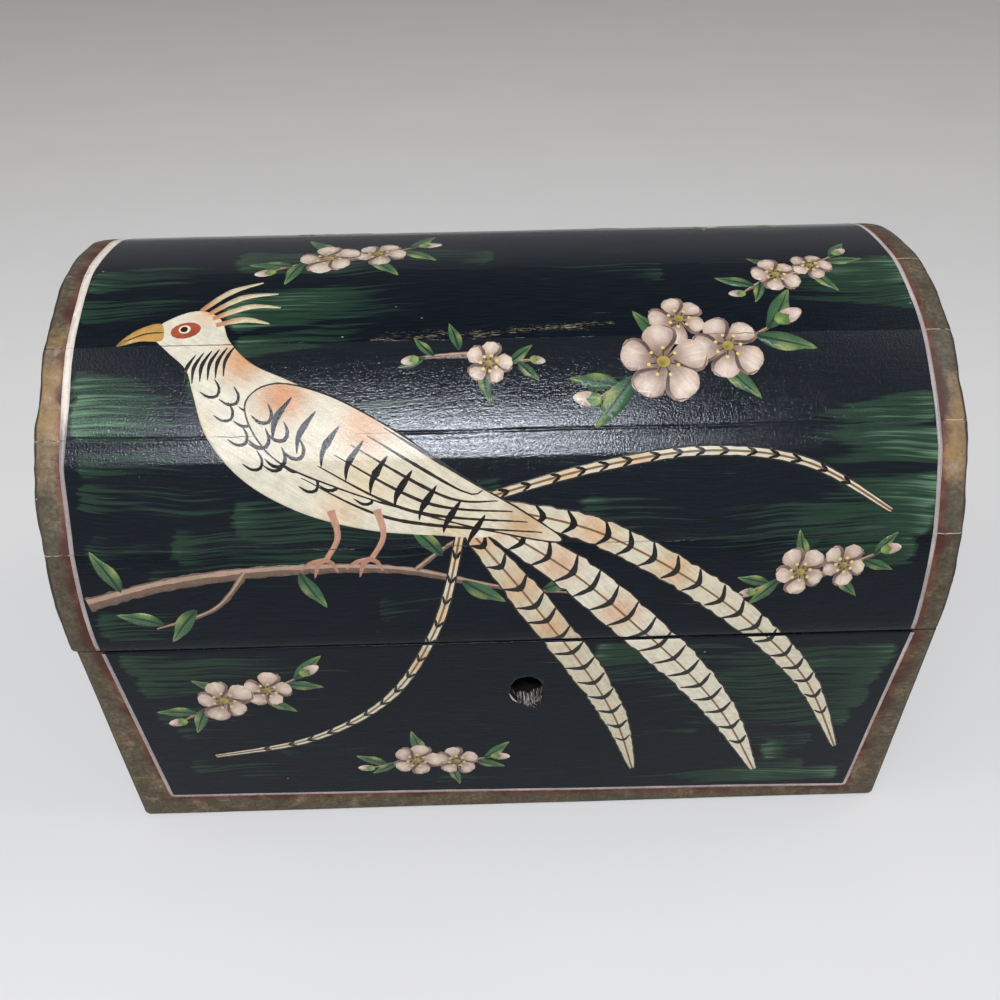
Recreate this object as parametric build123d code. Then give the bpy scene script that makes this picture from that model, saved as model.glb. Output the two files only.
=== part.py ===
from build123d import *
import math
import os

# Painted trinket trunk: a small wooden box with a domed lid of nine staves, hinged along the back.
# X runs along the length, the front faces -Y, Z is up and the floor is z = 0. Millimetres.

os.makedirs("parts", exist_ok=True)

# Whole box
LENGTH = 203.0              # the lid, end to end
DEPTH = 134.0               # front to back
BASE_HEIGHT = 64.0          # floor to the top of the base boards
SEAM = 0.3                  # gap between base and closed lid

# Base boards
BOARD = 7.0                 # front, back and end boards
BOTTOM_BOARD = 6.5
LID_OVERHANG = 1.0          # how far the lid passes the base at each end
CORNER_ROUND = 2.0          # upright corners, rounded by hand
FOOT_ROUND = 0.9            # lower outer edge of the base
SEAM_EASE = 0.4             # chamfer on the outer edges at the seam

# Domed lid
STAVES = 9
STAVE_THICKNESS = 7.0
STAVE_CROWN = 0.45          # how far a stave's outer face bulges past flat
STAVE_END_ROUND = 2.0
GLUE_LINE = 0.05
STILT = 2.8                 # height of the upright strip below the dome
LID_END_BOARD = 7.0
LID_END_SET_IN = 0.5        # end boards sit this far inside the stave ends

# Back edge and hinges
BACK_BEVEL = 1.6            # bevel along the back edges, in which the hinge barrels lie
STOP_ANGLE = 110.0          # the open lid rests on its bevel at this angle
HINGE_LENGTH = 22.0
HINGE_FROM_END = 45.0       # hinge centre from the end of the base
LEAF_THICKNESS = 0.9
LEAF_MARGIN = 0.5           # wood left between a leaf and the inner face
LEAF_FIT = 0.1              # gap round a leaf in its recess
KNUCKLE_RADIUS = 1.3
KNUCKLE_GAP = 0.12
KNUCKLE_CLEARANCE = 0.35    # gap round the barrel in the wood
PIN_RADIUS = 0.65
PIN_CLEARANCE = 0.05
PIN_HEAD_RADIUS = 1.0
PIN_HEAD = 0.4
HINGE_SCREWS = 3
HINGE_SCREW_SPACING = 7.2
HINGE_SCREW_RADIUS = 0.7
HINGE_SCREW_HEAD_RADIUS = 1.15
HINGE_SCREW_LENGTH = 9.0

# Brads that hold the boards
BRAD_RADIUS = 0.6
BRAD_HEAD_RADIUS = 1.0
BRAD_HEAD = 0.5
BRAD_LENGTH = 16.0
BRAD_SUNK = 0.3             # head below the surface
BRADS_PER_CORNER = 3
BRAD_FROM_EDGE = 10.0
BOTTOM_BRAD_X = 60.0
BOTTOM_BRAD_Y = 35.0
STAVE_BRAD_OFFSET = 6.0     # brads each side of a stave's middle
FASTENER_FIT = 0.02         # gap round a fastener in its hole

# Keyhole, worn to a rough round
KEYHOLE_X = 4.6
KEYHOLE_DROP = 17.2         # below the top of the base
KEYHOLE_WIDTH = 8.4
KEYHOLE_HEIGHT = 10.0

# Lock on the inner face of the front board
LOCK_WIDTH = 34.0
LOCK_HEIGHT = 25.0
LOCK_DEPTH = 8.0
LOCK_SHEET = 0.8
LOCK_DROP = 3.0             # case top below the top of the base
LOCK_EAR = 6.0              # width of each screw ear
LOCK_EAR_HEIGHT = 19.0
LOCK_EAR_ROUND = 2.0
LOCK_SCREW_SPACING = 11.0
SCREW_RADIUS = 0.8
SCREW_LENGTH = 5.5
SCREW_HEAD_RADIUS = 1.6
SCREW_HEAD = 0.9
KEY_REACH = 6.8             # key centre to bolt centre
KEY_PIN_RADIUS = 0.9
KEY_PIN_SHORT = 0.6         # pin tip to the board

# Bolt, its studs and its spring
BOLT_LENGTH = 23.5
BOLT_HEIGHT = 4.6
BOLT_THICKNESS = 1.6
BOLT_SETBACK = 3.8          # board to the middle of the bolt
BOLT_TRAVEL = 5.0
BOLT_REST_GAP = 0.6         # drawn bolt to the link plate's eye
BOLT_NOTCH_LENGTH = 4.0
BOLT_NOTCH_DEPTH = 1.4
BOLT_NOTCH_OFFSET = 3.0     # notch middle from the key centre, bolt drawn
STUD_RADIUS = 1.0
STUD_SHOULDER_RADIUS = 1.7
STUD_HEAD = 0.6
STUD_CLEARANCE = 0.06
STUD_SIDE_CLEARANCE = 0.1
STUD_OFFSETS = (-5.5, 6.5)  # from the key centre
RIVET_RADIUS = 0.9
SPRING_THICKNESS = 0.35
SPRING_WIDTH = 3.0
SPRING_LENGTH = 18.0
SPRING_OFFSET = 5.0         # spring middle from the key centre
SPRING_CLEARANCE = 0.1

# Link plate: hangs from the front stave and drops its eye into the lock
EYE_OFFSET = 10.0           # eye to the left of the key centre
EYE_THICKNESS = 1.2
EYE_CLEARANCE = 0.5
EYE_RIM = 1.2
EYE_SLOT_CLEARANCE = 0.5
LINK_THICKNESS = 1.0
LINK_WIDTH = 17.0
LINK_HEIGHT = 11.0
LINK_NECK_WIDTH = 6.0
LINK_NECK_ABOVE_LOCK = 1.5
LINK_SCREW_SPACING = 11.0

# Worked out from the sizes above
FRONT = -DEPTH / 2
BACK = DEPTH / 2
BASE_LENGTH = LENGTH - 2 * LID_OVERHANG
BASE_END = BASE_LENGTH / 2
LID_BOTTOM = BASE_HEIGHT + SEAM
DOME_RADIUS = DEPTH / 2
DOME_CENTRE = LID_BOTTOM + STILT
STAVE_ANGLE = 180.0 / STAVES
LEAN = STAVE_ANGLE / 2
CHORD_RADIUS = DOME_RADIUS * math.cos(math.radians(LEAN))
INNER_RADIUS = DOME_RADIUS - STAVE_THICKNESS
LID_END_OUTER = LENGTH / 2 - LID_END_SET_IN
LID_END_MIDDLE = LID_END_OUTER - LID_END_BOARD / 2
BASE_END_MIDDLE = BASE_END - BOARD / 2
PIN_Y = BACK - BACK_BEVEL
PIN_Z = BASE_HEIGHT + SEAM / 2
HINGE_X = BASE_END - HINGE_FROM_END
LEAF_FRONT = BACK - BOARD + LEAF_MARGIN
HINGE_SCREW_Y = (LEAF_FRONT + PIN_Y - KNUCKLE_RADIUS) / 2
BOARD_INNER = FRONT + BOARD
KEYHOLE_Z = BASE_HEIGHT - KEYHOLE_DROP
LOCK_TOP = BASE_HEIGHT - LOCK_DROP
LOCK_MIDDLE = LOCK_TOP - LOCK_HEIGHT / 2
LOCK_BACK = BOARD_INNER + LOCK_DEPTH
LOCK_SCREW_X = LOCK_WIDTH / 2 + LOCK_EAR / 2
BOLT_Y = BOARD_INNER + BOLT_SETBACK
BOLT_Z = KEYHOLE_Z + KEY_REACH
EYE_X = KEYHOLE_X - EYE_OFFSET
EYE_WIDTH = BOLT_THICKNESS + 2 * EYE_CLEARANCE
EYE_HEIGHT = BOLT_HEIGHT + 2 * EYE_CLEARANCE
EYE_PLATE_WIDTH = EYE_WIDTH + 2 * EYE_RIM
EYE_BOTTOM = BOLT_Z - EYE_HEIGHT / 2 - EYE_RIM
BOLT_TIP = EYE_X + EYE_THICKNESS / 2 + BOLT_REST_GAP
CUT = 5.0                   # how far a cutting shape passes the faces it opens


def box(low, high):
    """A block from its lowest to its highest corner."""
    size = [b - a for a, b in zip(low, high)]
    middle = [(a + b) / 2 for a, b in zip(low, high)]
    return Pos(*middle) * Box(*size)


def prism(edges, start, end):
    """A solid along X, with its section drawn in (y, z)."""
    face = Plane.YZ * make_face(edges)
    return Pos(start, 0, 0) * extrude(face, amount=end - start, dir=(1, 0, 0))


def turned(points):
    """A solid turned about Z, from its outline in (radius, height)."""
    outline = Polyline(*[(radius, 0, height) for radius, height in points], close=True)
    return revolve(make_face(outline), Axis.Z)


def placed(shape, origin, direction):
    """The shape moved so that its Z axis points along the direction."""
    return Plane(origin=origin, z_dir=direction).location * shape


def group(shapes):
    """Separate solids kept together as one node."""
    return Compound(children=[shape.solid() for shape in shapes])


def cut_all(body, tools):
    for tool in tools:
        body = body - tool
    return body


def brad(fit=0.0, open_by=0.0):
    """A brad with its head's top at zero, pointing down; fit and open_by turn it into its hole."""
    head = BRAD_HEAD_RADIUS + fit
    shank = BRAD_RADIUS + fit
    tip = -BRAD_LENGTH - fit
    return turned([(0, open_by), (head, open_by), (head, -BRAD_HEAD), (shank, -BRAD_HEAD),
                   (shank, tip + BRAD_RADIUS), (0, tip)])


def round_screw(fit=0.0):
    """A round-headed screw whose head sits on zero, pointing down."""
    shank = SCREW_RADIUS + fit
    tip = -SCREW_LENGTH - LOCK_SHEET - fit
    return turned([(0, SCREW_HEAD), (SCREW_HEAD_RADIUS / 2, SCREW_HEAD), (SCREW_HEAD_RADIUS, 0),
                   (shank, 0), (shank, tip + SCREW_RADIUS), (0, tip)])


def hinge_screw(fit=0.0):
    """A countersunk screw with its head's top at zero, pointing down."""
    head = HINGE_SCREW_HEAD_RADIUS + fit
    shank = HINGE_SCREW_RADIUS + fit
    tip = -HINGE_SCREW_LENGTH - fit
    return turned([(0, 0), (head, 0), (shank, shank - head), (shank, tip + HINGE_SCREW_RADIUS),
                   (0, tip)])


def dome_point(radius, angle, shift=0.0):
    """A point of the lid's section, at an angle above the front, shifted along the curve."""
    turn = math.radians(angle)
    y = -radius * math.cos(turn) + shift * math.sin(turn)
    z = DOME_CENTRE + radius * math.sin(turn) + shift * math.cos(turn)
    return (y, z)


def stave_section(index):
    """The outline of one stave: crowned outside, flat inside, square joints."""
    low = index * STAVE_ANGLE
    high = low + STAVE_ANGLE
    low_shift = GLUE_LINE / 2 if index > 0 else 0.0
    high_shift = -GLUE_LINE / 2 if index < STAVES - 1 else 0.0
    outer_low = dome_point(DOME_RADIUS, low, low_shift)
    outer_middle = dome_point(CHORD_RADIUS + STAVE_CROWN, (low + high) / 2)
    outer_high = dome_point(DOME_RADIUS, high, high_shift)
    inner_high = dome_point(INNER_RADIUS, high, high_shift)
    inner_low = dome_point(INNER_RADIUS, low, low_shift)
    edges = [ThreePointArc(outer_low, outer_middle, outer_high), Line(inner_high, inner_low)]
    if index == 0:
        foot_out = (outer_low[0], LID_BOTTOM)
        foot_in = (inner_low[0], LID_BOTTOM)
        edges.append(Polyline(inner_low, foot_in, foot_out, outer_low))
    else:
        edges.append(Line(inner_low, outer_low))
    if index == STAVES - 1:
        foot_out = (outer_high[0], LID_BOTTOM)
        foot_in = (inner_high[0], LID_BOTTOM)
        edges.append(Polyline(outer_high, foot_out, foot_in, inner_high))
    else:
        edges.append(Line(outer_high, inner_high))
    return Curve() + edges


def is_outer_end(edge):
    """True for the edges round the outside of a stave's two ends."""
    middle = edge @ 0.5
    reach = math.hypot(middle.Y, middle.Z - DOME_CENTRE)
    at_end = abs(abs(middle.X) - LENGTH / 2) < GLUE_LINE
    return at_end and reach > DOME_RADIUS - STAVE_THICKNESS / 4


def stave(index):
    body = prism(stave_section(index), -LENGTH / 2, LENGTH / 2)
    return fillet(body.edges().filter_by(is_outer_end), STAVE_END_ROUND)


def seam_chamfer(shape, y, z):
    """Eases the long edge that lies at (y, z)."""
    def on_seam(edge):
        middle = edge @ 0.5
        return abs(middle.Y - y) < GLUE_LINE and abs(middle.Z - z) < GLUE_LINE
    return chamfer(shape.edges().filter_by(on_seam), SEAM_EASE)


def stave_brad_places(index):
    """Origin and outward direction of each brad through one stave."""
    middle = (index + 0.5) * STAVE_ANGLE
    turn = math.radians(middle)
    outward = (0, -math.cos(turn), math.sin(turn))
    places = []
    for x in (-LID_END_MIDDLE, LID_END_MIDDLE):
        for side in (-STAVE_BRAD_OFFSET, STAVE_BRAD_OFFSET):
            y, z = dome_point(CHORD_RADIUS - BRAD_SUNK, middle, side)
            places.append(((x, y, z), outward))
    return places


def lid_end():
    """The half-round end board that the staves are nailed to, outer face on x = 0."""
    points = [dome_point(INNER_RADIUS, index * STAVE_ANGLE) for index in range(STAVES + 1)]
    points.insert(0, (points[0][0], LID_BOTTOM))
    points.append((points[-1][0], LID_BOTTOM))
    return prism(Polyline(*points, close=True), -LID_END_BOARD, 0)


def back_bevel(edge_z, way):
    """The wedge cut off a back edge at the seam; way is 1 for the lid and -1 for the base."""
    past = BACK_BEVEL + CUT
    rise = past * math.tan(math.radians(STOP_ANGLE / 2))
    outline = Polyline((PIN_Y, edge_z), (PIN_Y + past, edge_z + way * rise),
                       (PIN_Y + past, edge_z - way * CUT), (PIN_Y, edge_z - way * CUT), close=True)
    return prism(outline, -LENGTH, LENGTH)


def barrel_cut(x, radius, length):
    """A cylinder about the hinge axis."""
    return Pos(x, PIN_Y, PIN_Z) * Rot(0, 90, 0) * Cylinder(radius, length)


def leaf_box(x, edge_z, way, fit=0.0):
    """The flat of a hinge leaf, set into the wood beyond edge_z; fit makes its recess."""
    half = HINGE_LENGTH / 2 + fit
    far = edge_z + way * LEAF_THICKNESS
    near = edge_z - way * (CUT if fit else 0.0)
    low = (x - half, LEAF_FRONT - fit, min(near, far))
    high = (x + half, PIN_Y, max(near, far))
    return box(low, high)


def hinge_recess(x, edge_z, way):
    """Everything that a hinge takes out of one back edge."""
    barrel_length = HINGE_LENGTH + 2 * (PIN_HEAD + 2 * KNUCKLE_GAP)
    barrel = barrel_cut(x, KNUCKLE_RADIUS + KNUCKLE_CLEARANCE, barrel_length)
    cuts = [leaf_box(x, edge_z, way, LEAF_FIT), barrel]
    cuts += [placed(hinge_screw(FASTENER_FIT), *place) for place in hinge_screw_places(x, edge_z, way)]
    return cuts


def hinge_screw_places(x, edge_z, way):
    middle = (HINGE_SCREWS - 1) / 2
    offsets = [(index - middle) * HINGE_SCREW_SPACING for index in range(HINGE_SCREWS)]
    return [((x + offset, HINGE_SCREW_Y, edge_z), (0, 0, -way)) for offset in offsets]


def hinge_leaf(x, edge_z, way, own, other):
    """One leaf; own and other list its knuckles and its partner's, as (start, end) along X."""
    leaf = leaf_box(x, edge_z, way)
    for start, end in own:
        leaf += barrel_cut(x + (start + end) / 2, KNUCKLE_RADIUS, end - start)
    for start, end in other:
        length = end - start + 2 * KNUCKLE_GAP
        leaf -= barrel_cut(x + (start + end) / 2, KNUCKLE_RADIUS + KNUCKLE_GAP, length)
    leaf -= barrel_cut(x, PIN_RADIUS + PIN_CLEARANCE, HINGE_LENGTH + CUT)
    for place in hinge_screw_places(x, edge_z, way):
        leaf -= placed(hinge_screw(FASTENER_FIT), *place)
    return leaf


def hinge_pin(x):
    half = HINGE_LENGTH / 2 + KNUCKLE_GAP
    head = half + PIN_HEAD
    pin = turned([(0, -head), (PIN_HEAD_RADIUS / 2, -head), (PIN_HEAD_RADIUS, -half),
                  (PIN_RADIUS, -half), (PIN_RADIUS, half), (PIN_HEAD_RADIUS, half),
                  (PIN_HEAD_RADIUS / 2, head), (0, head)])
    return placed(pin, (x, PIN_Y, PIN_Z), (1, 0, 0))


# Base boards: front and back run the whole length, the ends and the bottom fit between them
def long_board(front_face, back_face, outer_face):
    """A front or back board, rounded at its upright corners and along its foot."""
    board = box((-BASE_END, front_face, 0), (BASE_END, back_face, BASE_HEIGHT))
    corners = board.edges().filter_by(Axis.Z).filter_by(lambda e: abs((e @ 0.5).Y - outer_face) < GLUE_LINE)
    board = fillet(corners, CORNER_ROUND)
    inner_face = front_face + back_face - outer_face
    foot = board.faces().sort_by(Axis.Z)[0].edges()
    foot = foot.filter_by(lambda e: abs((e @ 0.5).Y - inner_face) > GLUE_LINE)
    return fillet(foot, FOOT_ROUND)


def end_board():
    """An end board with its outer face on x = 0, eased along its foot and its top."""
    board = box((-BOARD, BOARD_INNER, 0), (0, -BOARD_INNER, BASE_HEIGHT))
    outer = board.edges().filter_by(Axis.Y).filter_by(lambda e: abs((e @ 0.5).X) < GLUE_LINE)
    board = fillet(outer.sort_by(Axis.Z)[0], FOOT_ROUND)
    outer = board.edges().filter_by(Axis.Y).filter_by(lambda e: abs((e @ 0.5).X) < GLUE_LINE)
    return chamfer(outer.sort_by(Axis.Z)[-1], SEAM_EASE)


def corner_brad_places():
    step = (BASE_HEIGHT - 2 * BRAD_FROM_EDGE) / (BRADS_PER_CORNER - 1)
    heights = [BRAD_FROM_EDGE + index * step for index in range(BRADS_PER_CORNER)]
    places = []
    for face, outward in ((FRONT + BRAD_SUNK, (0, -1, 0)), (BACK - BRAD_SUNK, (0, 1, 0))):
        for x in (-BASE_END_MIDDLE, BASE_END_MIDDLE):
            places += [((x, face, z), outward) for z in heights]
    return places


def bottom_brad_places():
    z = BOTTOM_BOARD / 2
    places = []
    for face, outward in ((FRONT + BRAD_SUNK, (0, -1, 0)), (BACK - BRAD_SUNK, (0, 1, 0))):
        places += [((x, face, z), outward) for x in (-BOTTOM_BRAD_X, 0, BOTTOM_BRAD_X)]
    for face, outward in ((BRAD_SUNK - BASE_END, (-1, 0, 0)), (BASE_END - BRAD_SUNK, (1, 0, 0))):
        places += [((face, y, z), outward) for y in (-BOTTOM_BRAD_Y, BOTTOM_BRAD_Y)]
    return places


def brads(places):
    return group([placed(brad(), *place) for place in places])


def brad_holes(places):
    return [placed(brad(FASTENER_FIT, CUT), *place) for place in places]


# Lock: a folded case with two studs, a bolt that slides on them, a spring and a pin for the key
def lock_screw_places():
    seat = BOARD_INNER + LOCK_SHEET
    places = []
    for x in (KEYHOLE_X - LOCK_SCREW_X, KEYHOLE_X + LOCK_SCREW_X):
        for z in (LOCK_MIDDLE - LOCK_SCREW_SPACING / 2, LOCK_MIDDLE + LOCK_SCREW_SPACING / 2):
            places.append(((x, seat, z), (0, 1, 0)))
    return places


def rivet(points):
    """A turned piece riveted through the lock's back: the outline starts behind the case."""
    tail = [(0, 0), (RIVET_RADIUS, 0), (RIVET_RADIUS, LOCK_SHEET)]
    return turned(tail + points)


def stud():
    inner = LOCK_SHEET
    bolt_back = LOCK_BACK - BOLT_Y - BOLT_THICKNESS / 2 - STUD_SIDE_CLEARANCE
    bolt_front = LOCK_BACK - BOLT_Y + BOLT_THICKNESS / 2 + STUD_SIDE_CLEARANCE
    tip = bolt_front + STUD_HEAD
    return rivet([(STUD_SHOULDER_RADIUS, inner), (STUD_SHOULDER_RADIUS, bolt_back),
                  (STUD_RADIUS, bolt_back), (STUD_RADIUS, bolt_front),
                  (STUD_SHOULDER_RADIUS, bolt_front), (STUD_SHOULDER_RADIUS, tip), (0, tip)])


def key_pin():
    collar = KEY_PIN_RADIUS + LOCK_SHEET / 2
    tip = LOCK_DEPTH - KEY_PIN_SHORT
    return rivet([(collar, LOCK_SHEET), (collar, 2 * LOCK_SHEET), (KEY_PIN_RADIUS, 2 * LOCK_SHEET),
                  (KEY_PIN_RADIUS, tip - KEY_PIN_RADIUS / 2), (KEY_PIN_RADIUS / 2, tip), (0, tip)])


def lock_case():
    left = KEYHOLE_X - LOCK_WIDTH / 2
    right = KEYHOLE_X + LOCK_WIDTH / 2
    bottom = LOCK_TOP - LOCK_HEIGHT
    case = box((left, BOARD_INNER, bottom), (right, LOCK_BACK, LOCK_TOP))
    case -= box((left + LOCK_SHEET, BOARD_INNER - CUT, bottom + LOCK_SHEET),
                (right - LOCK_SHEET, LOCK_BACK - LOCK_SHEET, LOCK_TOP - LOCK_SHEET))
    for inner, outer in ((left, left - LOCK_EAR), (right, right + LOCK_EAR)):
        ear = box((min(inner, outer), BOARD_INNER, LOCK_MIDDLE - LOCK_EAR_HEIGHT / 2),
                  (max(inner, outer), BOARD_INNER + LOCK_SHEET, LOCK_MIDDLE + LOCK_EAR_HEIGHT / 2))
        tips = ear.edges().filter_by(Axis.Y).group_by(lambda e: abs((e @ 0.5).X - outer))[0]
        case += fillet(tips, LOCK_EAR_ROUND)
    slot_half = EYE_THICKNESS / 2 + EYE_SLOT_CLEARANCE
    slot_back = BOLT_Y + EYE_PLATE_WIDTH / 2 + EYE_SLOT_CLEARANCE
    case -= box((EYE_X - slot_half, BOARD_INNER - CUT, LOCK_TOP - LOCK_SHEET),
                (EYE_X + slot_half, slot_back, LOCK_TOP + CUT))
    for origin, direction in lock_screw_places():
        case -= placed(round_screw(FASTENER_FIT), origin, direction)
    for x, z in rivet_places():
        hole = Cylinder(RIVET_RADIUS + FASTENER_FIT, LOCK_SHEET * 4)
        case -= placed(hole, (x, LOCK_BACK, z), (0, -1, 0))
    return case


def stud_places():
    return [(KEYHOLE_X + offset, BOLT_Z) for offset in STUD_OFFSETS]


def rivet_places():
    return stud_places() + [(KEYHOLE_X, KEYHOLE_Z)]


def lock_bolt():
    """The bolt, drawn back; it moves towards -X to lock."""
    low_y = BOLT_Y - BOLT_THICKNESS / 2
    high_y = BOLT_Y + BOLT_THICKNESS / 2
    low_z = BOLT_Z - BOLT_HEIGHT / 2
    bolt = box((BOLT_TIP, low_y, low_z), (BOLT_TIP + BOLT_LENGTH, high_y, low_z + BOLT_HEIGHT))
    half = STUD_RADIUS + STUD_CLEARANCE
    for x, z in stud_places():
        slot = box((x, low_y - CUT, z - half), (x + BOLT_TRAVEL, high_y + CUT, z + half))
        for end in (x, x + BOLT_TRAVEL):
            slot += placed(Cylinder(half, BOLT_THICKNESS + 2 * CUT), (end, BOLT_Y, z), (0, 1, 0))
        bolt -= slot
    notch = KEYHOLE_X + BOLT_NOTCH_OFFSET
    bolt -= box((notch - BOLT_NOTCH_LENGTH / 2, low_y - CUT, low_z - CUT),
                (notch + BOLT_NOTCH_LENGTH / 2, high_y + CUT, low_z + BOLT_NOTCH_DEPTH))
    return bolt


def bolt_spring():
    """A bowed leaf between the top of the case and the bolt."""
    ceiling = LOCK_TOP - LOCK_SHEET
    sag = ceiling - BOLT_Z - BOLT_HEIGHT / 2 - SPRING_CLEARANCE
    radius = (SPRING_LENGTH ** 2 / 4 + sag ** 2) / (2 * sag)
    x = KEYHOLE_X + SPRING_OFFSET
    centre = (x, BOLT_Y, ceiling - sag + radius)
    leaf = placed(Cylinder(radius, SPRING_WIDTH), centre, (0, 1, 0))
    leaf -= placed(Cylinder(radius - SPRING_THICKNESS, SPRING_WIDTH + CUT), centre, (0, 1, 0))
    below = box((x - SPRING_LENGTH, BOLT_Y - SPRING_WIDTH, ceiling - sag - CUT),
                (x + SPRING_LENGTH, BOLT_Y + SPRING_WIDTH, ceiling))
    return leaf & below


def link_bend():
    """Height at which the stave's inner face passes the front of the eye plate."""
    front = BOLT_Y - EYE_PLATE_WIDTH / 2
    from_inner = front + INNER_RADIUS
    return front, DOME_CENTRE + from_inner / math.tan(math.radians(LEAN))


def link_plate():
    front, bend = link_bend()
    lean = math.radians(LEAN)
    neck_bottom = LOCK_TOP + LINK_NECK_ABOVE_LOCK
    up = (math.sin(lean), math.cos(lean))
    top = (front + LINK_HEIGHT * up[0], bend + LINK_HEIGHT * up[1])
    top_back = (top[0] + LINK_THICKNESS * up[1], top[1] - LINK_THICKNESS * up[0])
    back = front + LINK_THICKNESS
    bend_back = bend - LINK_THICKNESS * math.tan(lean / 2)
    upper = Polyline((front, bend), top, top_back, (back, bend_back), close=True)
    neck = Polyline((front, neck_bottom), (front, bend), (back, bend_back), (back, neck_bottom), close=True)
    eye_left = EYE_X - EYE_THICKNESS / 2
    middle = eye_left + LINK_NECK_WIDTH / 2
    plate = prism(upper, middle - LINK_WIDTH / 2, middle + LINK_WIDTH / 2)
    plate += prism(neck, eye_left, eye_left + LINK_NECK_WIDTH)
    half = EYE_PLATE_WIDTH / 2
    eye_right = eye_left + EYE_THICKNESS
    eye = box((eye_left, BOLT_Y - half, EYE_BOTTOM + half), (eye_right, BOLT_Y + half, bend_back))
    eye += placed(Cylinder(half, EYE_THICKNESS), (EYE_X, BOLT_Y, EYE_BOTTOM + half), (1, 0, 0))
    eye -= box((eye_left - CUT, BOLT_Y - EYE_WIDTH / 2, BOLT_Z - EYE_HEIGHT / 2),
               (eye_right + CUT, BOLT_Y + EYE_WIDTH / 2, BOLT_Z + EYE_HEIGHT / 2))
    plate += eye
    for origin, direction in link_screw_places():
        plate -= placed(round_screw(FASTENER_FIT), origin, direction)
    return plate


def link_screw_places():
    front, bend = link_bend()
    lean = math.radians(LEAN)
    along = LINK_HEIGHT / 2
    y = front + along * math.sin(lean) + LINK_THICKNESS * math.cos(lean)
    z = bend + along * math.cos(lean) - LINK_THICKNESS * math.sin(lean)
    middle = EYE_X - EYE_THICKNESS / 2 + LINK_NECK_WIDTH / 2
    inward = (0, math.cos(lean), -math.sin(lean))
    return [((middle + side * LINK_SCREW_SPACING / 2, y, z), inward) for side in (-1, 1)]


def knuckle_spans():
    """The lid's middle knuckle and the base's two outer ones, along the hinge."""
    third = HINGE_LENGTH / 3
    gap = KNUCKLE_GAP / 2
    lid_spans = [(gap - third / 2, third / 2 - gap)]
    base_spans = [(-HINGE_LENGTH / 2, -third / 2 - gap), (third / 2 + gap, HINGE_LENGTH / 2)]
    return lid_spans, base_spans


# Base
nodes = {}
lock_screw_holes = [placed(round_screw(FASTENER_FIT), *place) for place in lock_screw_places()]
keyhole = extrude(Plane.XZ * Ellipse(KEYHOLE_WIDTH / 2, KEYHOLE_HEIGHT / 2), amount=DEPTH)
keyhole = Pos(KEYHOLE_X, BOARD_INNER + CUT, KEYHOLE_Z) * keyhole
base_brad_holes = brad_holes(corner_brad_places() + bottom_brad_places())

front = seam_chamfer(long_board(FRONT, BOARD_INNER, FRONT), FRONT, BASE_HEIGHT)
nodes["base_front_board"] = cut_all(front, [keyhole] + lock_screw_holes + base_brad_holes)

base_hinge_cuts = hinge_recess(-HINGE_X, BASE_HEIGHT, -1) + hinge_recess(HINGE_X, BASE_HEIGHT, -1)
back = long_board(-BOARD_INNER, BACK, BACK) - back_bevel(BASE_HEIGHT, -1)
nodes["base_back_board"] = cut_all(back, base_hinge_cuts + base_brad_holes)

right_end = Pos(BASE_END, 0, 0) * end_board()
nodes["base_right_end"] = cut_all(right_end, base_brad_holes)
nodes["base_left_end"] = cut_all(mirror(right_end, Plane.YZ), base_brad_holes)

bottom_half = BASE_END - BOARD
bottom = box((-bottom_half, BOARD_INNER, 0), (bottom_half, -BOARD_INNER, BOTTOM_BOARD))
nodes["base_bottom_board"] = cut_all(bottom, base_brad_holes)
nodes["corner_brads"] = brads(corner_brad_places())
nodes["bottom_brads"] = brads(bottom_brad_places())

# Lid
stave_cuts = {index: brad_holes(stave_brad_places(index)) for index in range(STAVES)}
stave_cuts[0] += [placed(round_screw(FASTENER_FIT), *place) for place in link_screw_places()]
stave_cuts[STAVES - 1] += [back_bevel(LID_BOTTOM, 1)]
stave_cuts[STAVES - 1] += hinge_recess(-HINGE_X, LID_BOTTOM, 1) + hinge_recess(HINGE_X, LID_BOTTOM, 1)
for index in range(STAVES):
    body = stave(index)
    if index == 0:
        body = seam_chamfer(body, FRONT, LID_BOTTOM)
    nodes[f"lid_stave_{index + 1}"] = cut_all(body, stave_cuts[index])

all_stave_brads = [place for index in range(STAVES) for place in stave_brad_places(index)]
right_lid_end = Pos(LID_END_OUTER, 0, 0) * lid_end()
nodes["lid_right_end"] = cut_all(right_lid_end, brad_holes(all_stave_brads))
nodes["lid_left_end"] = cut_all(mirror(right_lid_end, Plane.YZ), brad_holes(all_stave_brads))
nodes["stave_brads"] = brads(all_stave_brads)

# Hinges
lid_spans, base_spans = knuckle_spans()
for side, x in (("left", -HINGE_X), ("right", HINGE_X)):
    nodes[f"{side}_hinge_base_leaf"] = hinge_leaf(x, BASE_HEIGHT, -1, base_spans, lid_spans)
    nodes[f"{side}_hinge_lid_leaf"] = hinge_leaf(x, LID_BOTTOM, 1, lid_spans, base_spans)
    nodes[f"{side}_hinge_pin"] = hinge_pin(x)
for name, edge_z, way in (("base_hinge_screws", BASE_HEIGHT, -1), ("lid_hinge_screws", LID_BOTTOM, 1)):
    places = hinge_screw_places(-HINGE_X, edge_z, way) + hinge_screw_places(HINGE_X, edge_z, way)
    nodes[name] = group([placed(hinge_screw(), *place) for place in places])

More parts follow.
